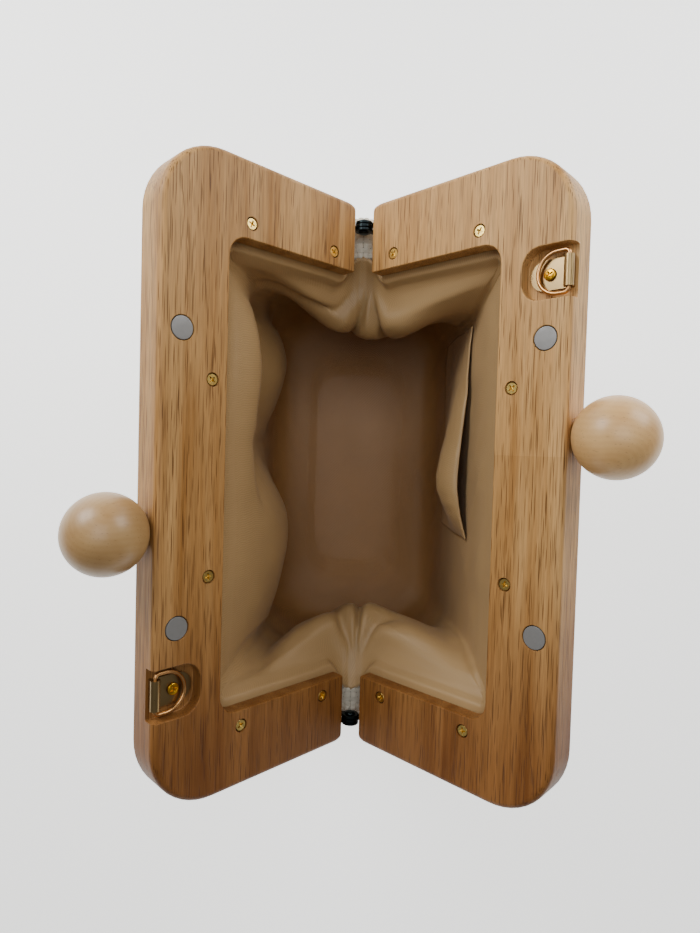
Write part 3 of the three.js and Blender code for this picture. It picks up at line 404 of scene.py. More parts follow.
def baked(thing):
    """The object's mesh with its modifiers applied, in place of its own."""
    graph = bpy.context.evaluated_depsgraph_get()
    mesh = bpy.data.meshes.new_from_object(thing.evaluated_get(graph), depsgraph=graph)
    thing.modifiers.clear()
    old = thing.data
    thing.data = mesh
    bpy.data.meshes.remove(old)
    return thing


def as_object(bm, name):
    mesh = bpy.data.meshes.new(name)
    bm.to_mesh(mesh)
    bm.free()
    thing = bpy.data.objects.new(name, mesh)
    bpy.context.scene.collection.objects.link(thing)
    return thing


def combined(thing, cutter, operation="DIFFERENCE"):
    """Cuts a bmesh out of an object, or joins it on, and leaves a clean mesh."""
    tool = as_object(cutter, "tool")
    modifier = thing.modifiers.new("combine", "BOOLEAN")
    modifier.operation = operation
    modifier.solver = "EXACT"
    modifier.object = tool
    baked(thing)
    spent = tool.data
    bpy.data.objects.remove(tool)
    bpy.data.meshes.remove(spent)
    return thing


def finish_piece(thing, name, place, material, body, nodes, sharp=35.0, weighted=True):
    """Sets a finished piece in the bag: its place goes into its mesh, and it stands for its CAD nodes."""
    thing.name = name
    thing.data.name = name
    thing.data.transform(place)
    if place.determinant() < 0:
        thing.data.flip_normals()
    thing.data.materials.clear()
    thing.data.materials.append(material)
    thing.data.shade_smooth()
    thing.data.set_sharp_from_angle(angle=math.radians(sharp))
    if weighted:
        modifier = thing.modifiers.new("even shading", "WEIGHTED_NORMAL")
        modifier.keep_sharp = True
    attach(thing, body)
    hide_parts(*nodes)
    return thing


def outline(bm, corners, segments=8):
    """A flat face through the corners (u, v, radius), with each corner rounded."""
    face = bm.faces.new([bm.verts.new((u, v, 0)) for u, v, _ in corners])
    for u, v, radius in corners:
        if radius > 0:
            corner = min(face_verts(bm), key=lambda p: (p.co - Vector((u, v, 0))).length)
            bmesh.ops.bevel(
                bm, geom=[corner], offset=radius, offset_type="OFFSET", segments=segments,
                profile=0.5, affect="VERTICES", material=-1, clamp_overlap=False,
            )
    return face


def face_verts(bm):
    return [v for f in bm.faces for v in f.verts]


def raised(bm, low, high):
    """Turns a flat outline into a solid between two heights."""
    made = bmesh.ops.extrude_face_region(bm, geom=bm.faces[:])
    top = [g for g in made["geom"] if isinstance(g, bmesh.types.BMVert)]
    bmesh.ops.translate(bm, verts=bm.verts, vec=(0, 0, low))
    bmesh.ops.translate(bm, verts=top, vec=(0, 0, high - low))
    rim = [e for e in bm.edges if e.is_boundary]
    if rim:
        bmesh.ops.holes_fill(bm, edges=rim, sides=0)
    bmesh.ops.recalc_face_normals(bm, faces=bm.faces)
    return bm


def lowest_face(bm):
    return min(bm.faces, key=lambda f: f.calc_center_median().z)


def pushed(bm, drop):
    """Pushes a solid's lowest face straight down and returns the face."""
    start = lowest_face(bm)
    made = bmesh.ops.extrude_face_region(bm, geom=[start])
    bmesh.ops.delete(bm, geom=[start], context="FACES_ONLY")
    face = next(g for g in made["geom"] if isinstance(g, bmesh.types.BMFace))
    bmesh.ops.translate(bm, verts=face.verts[:], vec=(0, 0, -drop))
    return face


def stepped(bm, steps):
    """Pushes a solid's lowest face down in steps of (inset, drop)."""
    for inset, drop in steps:
        if inset > 0:
            face = lowest_face(bm)
            bmesh.ops.inset_region(bm, faces=[face], thickness=inset, use_even_offset=True, use_boundary=True)
            bmesh.ops.translate(bm, verts=face.verts[:], vec=(0, 0, -drop))
        else:
            pushed(bm, drop)
    bmesh.ops.recalc_face_normals(bm, faces=bm.faces)
    return bm


def oblong(u0, u1, v0, v1, near=0, far=0):
    """Corners of an oblong, rounded by one radius at u0 and by another at u1."""
    return [(u0, v0, near), (u1, v0, far), (u1, v1, far), (u0, v1, near)]


def slab(corners, low, high, segments=8):
    bm = bmesh.new()
    outline(bm, corners, segments)
    return raised(bm, low, high)


def turned(profile, steps=48, closed=False):
    """A solid turned about the w axis from (radius, height) points."""
    bm = bmesh.new()
    points = [bm.verts.new((r, 0, w)) for r, w in profile]
    pairs = list(zip(points, points[1:])) + ([(points[-1], points[0])] if closed else [])
    edges = [bm.edges.new(pair) for pair in pairs]
    bmesh.ops.spin(
        bm, geom=points + edges, cent=(0, 0, 0), axis=(0, 0, 1), angle=2 * math.pi, steps=steps, use_merge=True
    )
    bmesh.ops.remove_doubles(bm, verts=bm.verts, dist=1e-4)
    bmesh.ops.recalc_face_normals(bm, faces=bm.faces)
    return bm


def rod(radius, low, high, steps=24):
    return turned([(0, low), (radius, low), (radius, high), (0, high)], steps)


def moved(bm, matrix):
    bm.transform(matrix)
    return bm


def gathered(parts):
    """Several bmeshes as one."""
    whole = bmesh.new()
    for part in parts:
        mesh = bpy.data.meshes.new("part")
        part.to_mesh(mesh)
        part.free()
        whole.from_mesh(mesh)
        bpy.data.meshes.remove(mesh)
    return whole


def softened(thing, width, angle=40.0):
    """Eases a piece's edges."""
    modifier = thing.modifiers.new("ease", "BEVEL")
    modifier.width = width
    modifier.segments = 2
    modifier.limit_method = "ANGLE"
    modifier.angle_limit = math.radians(angle)
    return baked(thing)


def sawn(bm, point, normal):
    """Saws off what lies behind a plane and closes the cut."""
    everything = bm.verts[:] + bm.edges[:] + bm.faces[:]
    bmesh.ops.bisect_plane(bm, geom=everything, plane_co=point, plane_no=normal, clear_inner=True)
    bmesh.ops.holes_fill(bm, edges=[e for e in bm.edges if e.is_boundary], sides=0)


def cut_off(thing, u):
    """Saws off everything nearer the hinge line than u."""
    bm = bmesh.new()
    bm.from_mesh(thing.data)
    sawn(bm, (u, 0, 0), (1, 0, 0))
    bmesh.ops.recalc_face_normals(bm, faces=bm.faces)
    bm.to_mesh(thing.data)
    bm.free()


def mirrored_places(places):
    return [(name, u, sign * v) for name, u, v in places for sign in (1, -1)]


# The wooden frame.


def frame_board(wood):
    """One half of the frame in board coordinates, with its edges rounded and its holes cut."""
    # The blank runs past the arms' ends and is sawn off there, so that the ends stay square.
    blank_end = ARM_END - 2 * in_mm(wood.edge_round)
    corners = [
        (blank_end, -HALF_LENGTH, ARM_CORNER), (BOARD_REACH, -HALF_LENGTH, BAR_CORNER),
        (BOARD_REACH, HALF_LENGTH, BAR_CORNER), (blank_end, HALF_LENGTH, ARM_CORNER),
        (blank_end, WINDOW_HALF, 0), (WINDOW_REACH, WINDOW_HALF, WINDOW_CORNER),
        (WINDOW_REACH, -WINDOW_HALF, WINDOW_CORNER), (blank_end, -WINDOW_HALF, 0),
    ]
    bm = slab(corners, -THICK, 0, segments=12)
    weights = bm.edges.layers.float.new("bevel_weight_edge")
    for edge in bm.edges:
        a, b = (v.co for v in edge.verts)
        at_window = all(abs(p.y) < WINDOW_HALF + 0.01 and p.x < WINDOW_REACH + 0.01 for p in (a, b))
        if abs(a.z - b.z) <= 1:
            edge[weights] = 0.22 if at_window else 1.0
    board = as_object(bm, "board")
    modifier = board.modifiers.new("round", "BEVEL")
    modifier.width = in_mm(wood.edge_round)
    modifier.segments = 4
    modifier.limit_method = "WEIGHT"
    baked(board)
    cut_off(board, ARM_END)
    softened(board, 0.25, 60.0)

    far_u, far_v = WINDOW_REACH + GROOVE_REACH, WINDOW_HALF + GROOVE_REACH
    groove = oblong(-20, far_u, -far_v, far_v, 0, WINDOW_CORNER + GROOVE_REACH)
    combined(board, slab(groove, -GROOVE_TOP - GROOVE_WIDTH, -GROOVE_TOP))

    cutters = []
    for _, u, v in mirrored_places(SCREWS):
        hole = [(0, -13.2), (SHANK_HOLE, -13.2), (SHANK_HOLE, -3.6), (2.72, -3.1), (2.72, 1), (0, 1)]
        cutters.append(moved(turned(hole, 32), Matrix.Translation((u, v, 0))))
    for v in (MAGNET_V, -MAGNET_V):
        wide = MAGNET_R + 0.3
        bore = turned([(0, -3.3), (wide, -3.3), (wide, -0.2), (wide + 0.2, 0), (wide + 0.2, 1), (0, 1)])
        cutters.append(moved(bore, Matrix.Translation((MAGNET_U, v, 0))))
    recess = stepped(
        slab(oblong(RECESS_U, 107, -RECESS_HALF, RECESS_HALF, RECESS_CORNER), 0, 1, 10),
        [(0.28, 0.1), (0.14, 0.16), (0.08, 0.28), (0, RECESS_DEEP - 1.14), (0.08, 0.25), (0.17, 0.2), (0.25, 0.15)],
    )
    cutters.append(moved(recess, Matrix.Translation((0, RING_V, 0))))
    into_bar = Matrix.Translation((BOARD_REACH, BALL_V, BALL_W)) @ ALONG_U
    cutters.append(moved(rod(DOWEL_R + 0.3, -DOWEL_LONG - 1, 2), into_bar))
    for v, half in ((HINGE_V, 2.5), (-HINGE_V, 1.0)):
        slot = oblong(0, TAIL_END + 0.3, v - half, v + half, 0, 0.5)
        cutters.append(slab(slot, TAIL_LOW - 0.3, TAIL_HIGH + 0.3, 3))
    combined(board, gathered(cutters))
    plate_hole = moved(rod(SHANK_HOLE, -12.7, -5), Matrix.Translation((PLATE_SCREW_U, RING_V, 0)))
    return combined(board, plate_hole)


class HANDBAG_OT_frame(bpy.types.Operator):
    """Makes the two halves of the wooden frame"""

    bl_idname = "handbag.make_frame"
    bl_label = "Wooden frame"

    def execute(self, context):
        wood = context.scene.handbag.wood
        for side in ("right", "left"):
            material = rubberwood(f"rubberwood_{side}", side, wood)
            finish_piece(
                frame_board(wood), f"wood_half_{side}", board_to_bag(side), material,
                "bag", [f"frame_{side}"],
            )
        return {"FINISHED"}


class HANDBAG_OT_balls(bpy.types.Operator):
    """Makes the two clasp balls with their dowels"""

    bl_idname = "handbag.make_balls"
    bl_label = "Clasp balls"

    def execute(self, context):
        wood = context.scene.handbag.wood
        radius = in_mm(wood.ball_radius)
        seat_radius = math.sqrt(radius**2 - BALL_SEAT**2)
        dowel = BALL_U - BALL_SEAT - BOARD_REACH + DOWEL_LONG
        for side in ("right", "left"):
            bm = bmesh.new()
            bmesh.ops.create_uvsphere(bm, u_segments=72, v_segments=40, radius=radius)
            sawn(bm, (0, 0, -BALL_SEAT), (0, 0, 1))
            stepped(bm, [(seat_radius - DOWEL_R, 0), (0, dowel - 0.4), (0.4, 0.4)])
            turn_out = Matrix.Translation((BALL_U, BALL_V, BALL_W)) @ ALONG_U
            material = ball_wood(f"ball_wood_{side}", side, wood)
            finish_piece(
                as_object(bm, "ball"), f"clasp_ball_{side}", board_to_bag(side) @ turn_out, material,
                "bag", [f"ball_{side}"], weighted=False,
            )
        return {"FINISHED"}


# Metal fittings.


def cross_recess(depth, reach):
    """Cutter for a cross recess in a screw head, its top at height 0."""
    half = 0.33
    bars = []
    for turn in (0, math.pi / 2):
        bar = slab(oblong(-reach, reach, -half, half), -0.02, 0.3)
        low = pushed(bar, depth).verts[:]
        bmesh.ops.scale(bar, vec=(0.4, 0.7, 1), verts=low)
        bmesh.ops.recalc_face_normals(bar, faces=bar.faces)
        bars.append(moved(bar, Matrix.Rotation(turn, 4, "Z")))
    return bars


def brass_screw():
    """Countersunk clamp screw with a slightly domed head, its top at height 0."""
    profile = [
        (0, -12.2), (0.5, -12.0), (1.1, -11.2), (1.1, -1.9), (2.05, -0.62), (2.2, -0.42),
        (2.2, -0.14), (2.1, -0.02), (0, 0.0),
    ]
    screw = as_object(turned(profile, 36), "screw")
    for bar in cross_recess(1.0, 1.45):
        combined(screw, bar)
    return screw


class HANDBAG_OT_screws(bpy.types.Operator):
    """Makes the brass screws that clamp the cloth in the frame"""

    bl_idname = "handbag.make_screws"
    bl_label = "Brass screws"

    def execute(self, context):
        brass = context.scene.handbag.metal.brass[:]
        material = plated_metal("brass_plated_steel", brass, 0.3, 900.0)
        pattern = brass_screw()
        turn = 0.3
        for side in ("right", "left"):
            for name, u, v in mirrored_places(SCREWS):
                screw = bpy.data.objects.new("screw", pattern.data.copy())
                context.scene.collection.objects.link(screw)
                turn += 0.7
                place = board_to_bag(side) @ Matrix.Translation((u, v, -SCREW_SINK)) @ Matrix.Rotation(turn, 4, "Z")
                tag = f"{side}_{end_name(side, v)}_{name}"
                nodes = [f"screw_{tag}"]
                finish_piece(screw, f"brass_screw_{tag}", place, material, "bag", nodes)
        bpy.data.objects.remove(pattern)
        return {"FINISHED"}


class HANDBAG_OT_magnets(bpy.types.Operator):
    """Makes the four closing magnets"""

    bl_idname = "handbag.make_magnets"
    bl_label = "Closing magnets"

    def execute(self, context):
        nickel = context.scene.handbag.metal.magnet[:]
        material = plated_metal("nickel_plated_magnet", nickel, 0.45, 350.0, 0.35)
        profile = [(0, -3), (4.2, -3), (MAGNET_R, -2.85), (MAGNET_R, -0.3), (4.26, -0.09), (4.05, 0), (0, 0)]
        for side in ("right", "left"):
            for v in (MAGNET_V, -MAGNET_V):
                disc = as_object(turned(profile, 64), "disc")
                tag = f"{side}_{end_name(side, v)}"
                place = board_to_bag(side) @ Matrix.Translation((MAGNET_U, v, 0))
                nodes = [f"magnet_{tag}"]
                finish_piece(disc, f"disc_magnet_{tag}", place, material, "bag", nodes)
        return {"FINISHED"}


def ring_line(width, height):
    """Points round the D-ring in the plane of the ring: x away from its bar, y along it."""
    bow, bend = width / 2, 1.6
    side = height - bow
    line = [(0, y) for y in np.linspace(-bow + bend, bow - bend, 9)]
    corner = [(bend * math.cos(a), bend * math.sin(a)) for a in np.linspace(0.2, math.pi / 2, 6)]
    line += [(-bend + x, bow - bend + y) for x, y in corner]
    line += [(-side - bow * math.sin(a), bow * math.cos(a)) for a in np.linspace(0, math.pi, 40)]
    line += [(-bend + x, -bow + bend - y) for x, y in reversed(corner)]
    return line


def wire(points, radius):
    """A closed round wire through the points."""
    curve = bpy.data.curves.new("wire", "CURVE")
    curve.dimensions = "3D"
    curve.bevel_depth = radius
    curve.bevel_resolution = 4
    spline = curve.splines.new("POLY")
    spline.points.add(len(points) - 1)
    for point, (x, y, z) in zip(spline.points, points):
        point.co = (x, y, z, 1)
    spline.use_cyclic_u = True
    source = bpy.data.objects.new("wire", curve)
    bpy.context.scene.collection.objects.link(source)
    graph = bpy.context.evaluated_depsgraph_get()
    mesh = bpy.data.meshes.new_from_object(source.evaluated_get(graph), depsgraph=graph)
    bpy.data.objects.remove(source)
    bpy.data.curves.remove(curve)
    thing = bpy.data.objects.new("wire", mesh)
    bpy.context.scene.collection.objects.link(thing)
    return thing


def ring_plate():
    """Round-ended plate under the ring, with its outer end rolled round the ring's bar."""
    half, low, tube = 5.65, -5.4, 1.1
    eye = Matrix.Translation((RING_U, 0, RING_W)) @ ALONG_V
    strip = oblong(82.5, RING_U + 1.3, -half, half, half - 0.05)
    plate = as_object(slab(strip, low, low + 0.9, 12), "plate")
    roll = turned([(tube, -half), (1.8, -half), (1.8, half), (tube, half)], 40, closed=True)
    combined(plate, moved(roll, eye), "UNION")
    combined(plate, moved(rod(tube, -8, 8, 32), eye))
    combined(plate, moved(rod(SHANK_HOLE, -8, 0), Matrix.Translation((PLATE_SCREW_U, 0, 0))))
    return softened(plate, 0.16)


def plate_screw():
    """Pan head screw of the plate, its shank's top at height 0."""
    head = 0.75
    profile = [
        (0, -7), (0.6, -6.6), (1.1, -5.9), (1.1, 0), (2.2, 0), (2.3, 0.12), (2.2, 0.5), (1.9, 0.7), (0, head),
    ]
    screw = as_object(turned(profile, 36), "screw")
    for bar in cross_recess(0.6, 1.5):
        combined(screw, moved(bar, Matrix.Translation((0, 0, head))))
    return screw


class HANDBAG_OT_drings(bpy.types.Operator):
    """Makes the two strap D-rings with their plates and screws"""

    bl_idname = "handbag.make_drings"
    bl_label = "Strap D-rings"

    def execute(self, context):
        metal = context.scene.handbag.metal
        gold = plated_metal("pale_gold_plated_steel", metal.pale_gold[:], 0.31, 60.0)
        plate_gold = plated_metal("pale_gold_plated_strip", metal.plate_gold[:], 0.3, 120.0)
        brass = plated_metal("brass_plated_plate_screw", metal.deep_brass[:], 0.28, 900.0)
        line = ring_line(in_mm(metal.ring_width), in_mm(metal.ring_height))
        for side in ("right", "left"):
            place = board_to_bag(side) @ Matrix.Translation((0, RING_V, 0))
            ring = wire([(RING_U + x, y, RING_W) for x, y in line], in_mm(metal.wire_radius))
            finish_piece(
                ring, f"d_ring_{side}", place, gold, f"dring_{side}", [f"dring_{side}"],
                sharp=60, weighted=False,
            )
            nodes = [f"dring_plate_{side}"]
            finish_piece(ring_plate(), f"ring_plate_{side}", place, plate_gold, "bag", nodes)
            seat = place @ Matrix.Translation((PLATE_SCREW_U, 0, PLATE_SCREW_W)) @ Matrix.Rotation(0.5, 4, "Z")
            nodes = [f"dring_screw_{side}"]
            finish_piece(plate_screw(), f"plate_screw_{side}", seat, brass, "bag", nodes)
        return {"FINISHED"}


def leaf(v0, v1):
    """One plate of a hinge between v0 and v1: a round eye on the hinge line and a tail in the arm."""
    eye = turned([(0, -v1), (3.8, -v1), (4, -v1 + 0.15), (4, -v0 - 0.15), (3.8, -v0), (0, -v0)])
    plate = as_object(moved(eye, ALONG_V), "leaf")
    tail = slab(oblong(1, TAIL_END, TAIL_LOW, TAIL_HIGH, 1.2, 0.6), -v1 + 0.01, -v0 - 0.01, 4)
    combined(plate, moved(tail, ALONG_V), "UNION")
    return combined(plate, moved(rod(SHANK_HOLE, -20, 20), ALONG_V))


def hinge_fork():
    """The two outer plates of a hinge, joined by a web deep in the arm."""
    fork, other = leaf(-2.2, -1.0), leaf(1.0, 2.2)
    second = bmesh.new()
    second.from_mesh(other.data)
    bpy.data.objects.remove(other)
    combined(fork, second, "UNION")
    web = slab(oblong(14, TAIL_END, TAIL_LOW, TAIL_HIGH, 0.3, 0.3), -2.15, 2.15, 3)
    return combined(fork, moved(web, ALONG_V), "UNION")


class HANDBAG_OT_hinges(bpy.types.Operator):
    """Makes the two riveted hinges"""

    bl_idname = "handbag.make_hinges"
    bl_label = "Hinges"

    def execute(self, context):
        black = context.scene.handbag.metal.hinge[:]
        material = plated_metal("black_nickel_hinge", black, 0.3, 400.0)
        for side in ("right", "left"):
            for plate, v, kind in ((hinge_fork(), HINGE_V, "fork"), (leaf(-0.7, 0.7), -HINGE_V, "lug")):
                end = end_name(side, v)
                finish_piece(
                    plate, f"hinge_plate_{end}_{kind}", board_to_bag(side) @ Matrix.Translation((0, v, 0)),
                    material, "bag", [f"hinge_{end}_{kind}"],
                )
        profile = [
            (0, -3.3), (1.2, -3.26), (1.9, -3.1), (2.3, -2.8), (2.4, -2.5), (1.2, -2.5),
            (1.2, 2.5), (2.4, 2.5), (2.3, 2.8), (1.9, 3.1), (1.2, 3.26), (0, 3.3),
        ]
        for end, sign in (("upper", 1), ("lower", -1)):
            rivet = as_object(moved(turned(profile, 36), ALONG_V), "rivet")
            place = Matrix.Translation((0, sign * HINGE_V * MM, HINGE_HEIGHT * MM)) @ Matrix.Scale(MM, 4)
            nodes = [f"hinge_{end}_rivet"]
            finish_piece(rivet, f"hinge_pin_{end}", place, material, "bag", nodes)
        return {"FINISHED"}


# Cloth: control rings close to those of the solids, sampled finely, with folds and weave added.

LONG_STEPS = 7
CORNER_STEPS = 3
# Short-side columns: place along the arm, share of the flange, share of the free-hanging gap shape.
SHORT_COLUMNS = ((1, 1, 0), (0.78, 1, 0), (0.56, 1, 0), (0.335, 1, 0), (0.21, 0.6, 0), (0.105, 0.4, 0.75), (0, 0, 1))
END_COLUMN = 4
QUARTER = LONG_STEPS + CORNER_STEPS + len(SHORT_COLUMNS) - 1
MOUTH_DEPTH = 9.3
LIP_OFFSET = -1.8
# Straw sections: height as a share of the hinge height, half width, half length, corner radius, shift along Y.
STRAW_SECTIONS = (
    (0, 52, 104, 26, 0), (0.16, 58, 114, 34, 0.5), (0.48, 64, 121, 42, 1.2),
    (0.8, 66, 122.3, 44, 1.5), (1.05, 66, 122.3, 44, 1.5), (1.35, 64.5, 122, 44, 1.5),
)
# Rows at the mouth: offset out of the window edge, depth, and place in the hinge gap along Y and Z.
STRAW_MOUTH = ((9.3, 9.3, 102.8, -4.9), (-1.8, 9.3, 106.2, -5.6), (-1.8, 14, 109, -7), (-1.8, 19.3, 111, -7.9))
# Rows below: share of the way out to the section, and drops at the sides, the ends and the gap.
STRAW_ROWS = ((0.42, 6, 1.6, 0.1), (0.76, 14, 3.2, 0.5), (0.97, 24, 8, 3), (1, 36, 19, 14))
STRAW_LEVELS = (0.4, 0.75, 0.95, 1)
# Lining sections: share of the drop to the floor, half width, half length, corner radius.
LINING_SECTIONS = (
    (0.06, 54, 88, 9), (0.14, 53.5, 86, 12), (0.24, 53, 87, 15), (0.36, 53, 91, 18), (0.52, 53.5, 97, 22),
    (0.72, 54, 100, 25), (0.86, 53, 98.5, 26), (0.93, 50.5, 96, 26), (0.97, 46, 91, 25), (0.99, 40, 85, 23),
    (1, 32, 77, 20),
)
LINING_MOUTH = (
    (4.4, 7.4, 103.4, -5), (-2.5, 7.45, 102.2, -4.2), (-3.9, 9.6, 99.8, -5.6), (-6.2, 12.8, 95.6, -9.2),
)
# Folds that lean in from the long walls: side, middle along Y, spread each way, height, spread up and down,
# and reach.
WALL_FOLDS = (
    (-1, 48, 42, 74, 128, 9, 20, 9), (-1, 48, 40, 56, 112, 12, 9, -3.5), (-1, 58, 36, 44, 68, 40, 40, 14),
    (-1, -30, 44, 78, 90, 62, 64, 18.5),
)
# Swags that hang in from the hinge ends: end, middle along X, spread each way, height, spread down, reach, fullness.
SWAGS = ((1, 8, 50, 72, 94, 44, 18, 0.7), (-1, 6, 46, 56, 94, 46, 18.6, 0.36))
# Gathers that fan out from the knot in each hinge gap: end, place of the knot along X, then the direction of
# each gather from straight down the cloth, its width in degrees and how far it stands up.
GATHERS = (
    (1, 4, (
        (-64, 5, -2.4), (-40, 14, 2.4), (-16, 3.6, -4.4), (-2, 8, 2), (17, 4, -4.4), (40, 16, 2.2),
    )),
    (-1, 2, (
        (-46, 16, 2), (-22, 8, -2.6), (-6, 8, 1.6), (3, 3, -5), (14, 8, 2.4), (34, 6, -3.4), (54, 13, 1.8),
    )),
)


def quarter_columns():
    """For each column round the mouth: its place in the quarter, and the quarter's signs along X and Y."""
    found = []
    for j in range(4 * QUARTER):
        quadrant, step = divmod(j, QUARTER)
        index = step if quadrant % 2 == 0 else QUARTER - step
        found.append((index, 1 if quadrant in (0, 3) else -1, 1 if quadrant < 2 else -1))
    return found


COLUMNS = quarter_columns()


def end_share(index):
    return min(max((index - LONG_STEPS) / CORNER_STEPS, 0), 1)


def free_share(index):
    step = index - LONG_STEPS - CORNER_STEPS
    return SHORT_COLUMNS[step][2] if step > 0 else 0


def section_point(index, width, length, corner, reach):
    """A point of a rounded rectangle; the short-side columns start at x = reach * width."""
    if index <= LONG_STEPS:
        return width, (length - corner) * index / LONG_STEPS
    flat = width - corner
    last = math.acos(min(max((reach * width - flat) / corner, 0), 1))
    if index <= LONG_STEPS + CORNER_STEPS:
        a = (index - LONG_STEPS) / CORNER_STEPS * last
        return flat + corner * math.cos(a), length - corner + corner * math.sin(a)
    x = reach * width * SHORT_COLUMNS[index - LONG_STEPS - CORNER_STEPS][0]
    over = max(0, x - flat)
    return x, length - corner + math.sqrt(corner * corner - over * over)


def mouth_point(index, row):
    """A point of a cloth row that follows the frame's window edge, above the hinge line."""
    row_offset, depth, gap_y, gap_z = row
    w = -depth
    uc, vc = WINDOW_REACH - WINDOW_CORNER, WINDOW_HALF - WINDOW_CORNER

    def on_board(u, v):
        return np.array((u * COS - w * SIN, v, u * SIN + w * COS))

    if index <= LONG_STEPS:
        return on_board(WINDOW_REACH + row_offset, vc * index / LONG_STEPS)
    if index <= LONG_STEPS + CORNER_STEPS:
        a = (index - LONG_STEPS) / CORNER_STEPS * math.pi / 2
        r = WINDOW_CORNER + row_offset
        return on_board(uc + r * math.cos(a), vc + r * math.sin(a))
    step = index - LONG_STEPS - CORNER_STEPS
    along, flange, free = SHORT_COLUMNS[step]
    lip = min(row_offset, LIP_OFFSET)
    offset = lip + (row_offset - lip) * flange
    end_x = (ARM_END + GAP) * COS + depth * SIN
    spread = (uc * COS + MOUTH_DEPTH * SIN) * along
    if step < END_COLUMN:
        x = spread + (depth - MOUTH_DEPTH) * SIN * along
    else:
        x = end_x * along / SHORT_COLUMNS[END_COLUMN][0]
    held = np.array((x, WINDOW_HALF + offset, (w + max(x, end_x) * SIN) / COS))
    return held + (np.array((x, gap_y, gap_z)) - held) * free


def mouth_rings(rows):
    """Rings of cloth at the frame, in bag coordinates in mm."""
    return [
        [mouth_point(i, row) * (x, y, 1) + (0, 0, HINGE_HEIGHT) for i, x, y in COLUMNS] for row in rows
    ]


def straw_rings():
    rings = mouth_rings(STRAW_MOUTH)
    for ring in rings:
        for point, (index, x_sign, y_sign) in zip(ring, COLUMNS):
            if index - LONG_STEPS - CORNER_STEPS in (END_COLUMN, END_COLUMN + 1):
                point += (0, 1.5 * y_sign, -1.6)
    top = rings[-1]
    under_arm = ARM_END * COS + THICK * SIN + 0.6
    under_depth = STRAW_MOUTH[-1][1] + 0.8
    heights = [s[0] for s in STRAW_SECTIONS]

    def section(column, z):
        index, x_sign, y_sign = column
        width, length, corner, shift = (
            np.interp(z / HINGE_HEIGHT, heights, [s[k] for s in STRAW_SECTIONS]) for k in (1, 2, 3, 4)
        )
        x, y = section_point(index, width, length, corner, 0.8)
        return np.array((x_sign * x, y_sign * y + shift, z))

    for out, side_drop, end_drop, gap_drop in STRAW_ROWS:
        ring = []
        for j, column in enumerate(COLUMNS):
            end, free = end_share(column[0]), free_share(column[0])
            drop = (side_drop * (1 - end) + end_drop * end) * (1 - free) + gap_drop * free
            start = rings[1][j] if free > 0 else top[j]
            z = top[j][2] - drop
            p = start + (section(column, z) - start) * out
            if abs(p[0]) > under_arm:
                z = min(z, HINGE_HEIGHT + (abs(p[0]) * SIN - under_depth) / COS)
            y = top[j][1] if abs(p[1]) < abs(top[j][1]) else p[1]
            ring.append(np.array((p[0], y, z)))
        rings.append(ring)
    last = rings[-1]
    floor = STRAW_WALL / 2
    for level in STRAW_LEVELS:
        rings.append([section(c, last[j][2] * (1 - level) + floor * level) for j, c in enumerate(COLUMNS)])
    return np.array(rings)


def lining_rings():
    rings = mouth_rings(LINING_MOUTH)
    top = rings[-1]
    floor = STRAW_WALL + 0.35 + LINING_WALL / 2 + 0.2
    for drop, width, length, corner in LINING_SECTIONS:
        ring = []
        for j, (index, x_sign, y_sign) in enumerate(COLUMNS):
            x, y = section_point(index, width, length, corner, 0.88)
            ring.append(np.array((x_sign * x, y_sign * y, top[j][2] * (1 - drop) + floor * drop)))
        rings.append(ring)
    rings.append([np.array((p[0] * 0.93, p[1] * 0.93, floor)) for p in rings[-1]])
    return np.array(rings)


def between(grid, at, closed):
    """Smooth values of a grid's rows at real positions, by cubic steps through the rows."""
    count = len(grid)
    whole = np.floor(at).astype(int)
    share = (at - whole).reshape((-1,) + (1,) * (grid.ndim - 1))
    picks = [whole + k for k in (-1, 0, 1, 2)]
    a, b, c, d = (grid[p % count] if closed else grid[np.clip(p, 0, count - 1)] for p in picks)
    return 0.5 * (2 * b + (c - a) * share + (2 * a - 5 * b + 4 * c - d) * share**2 + (3 * b - a - 3 * c + d) * share**3)


def outward(points):
    """Outward normals of a grid of points whose rows run down and columns run anticlockwise."""
    down = np.gradient(points, axis=0)
    around = np.gradient(points, axis=1)
    normal = np.cross(down, around)
    size = np.linalg.norm(normal, axis=2, keepdims=True)
    return normal / np.maximum(size, 1e-9)


def cloth_sheet(name, points, places, layer, merge=0.02):
    """A cloth mesh through a grid of points in mm, with the places as its UV map."""
    rows, columns = points.shape[:2]
    bm = bmesh.new()
    bmesh.ops.create_grid(bm, x_segments=columns - 1, y_segments=rows - 1, size=1)
    bm.verts.ensure_lookup_table()
    flat = np.array([v.co for v in bm.verts])
    column = np.rint((flat[:, 0] + 1) / 2 * (columns - 1)).astype(int)
    row = np.rint((1 - flat[:, 1]) / 2 * (rows - 1)).astype(int)
    mesh = bpy.data.meshes.new(name)
    bm.to_mesh(mesh)
    bm.free()
    mesh.vertices.foreach_set("co", points[row, column].astype(np.float32).ravel())
    corners = np.empty(len(mesh.loops), np.int32)
    mesh.loops.foreach_get("vertex_index", corners)
    uv = mesh.uv_layers.new(name=layer)
    uv.data.foreach_set("uv", places[row, column][corners].astype(np.float32).ravel())
    bm = bmesh.new()
    bm.from_mesh(mesh)
    bmesh.ops.remove_doubles(bm, verts=bm.verts, dist=merge)
    bm.to_mesh(mesh)
    bm.free()
    thing = bpy.data.objects.new(name, mesh)
    bpy.context.scene.collection.objects.link(thing)
    return thing


def window(distance, spread):
    """A smooth hump, 1 at distance 0 and 0 from the spread outwards."""
    inside = np.clip(np.abs(distance) / spread, 0, 1)
    return np.cos(inside * math.pi / 2) ** 2


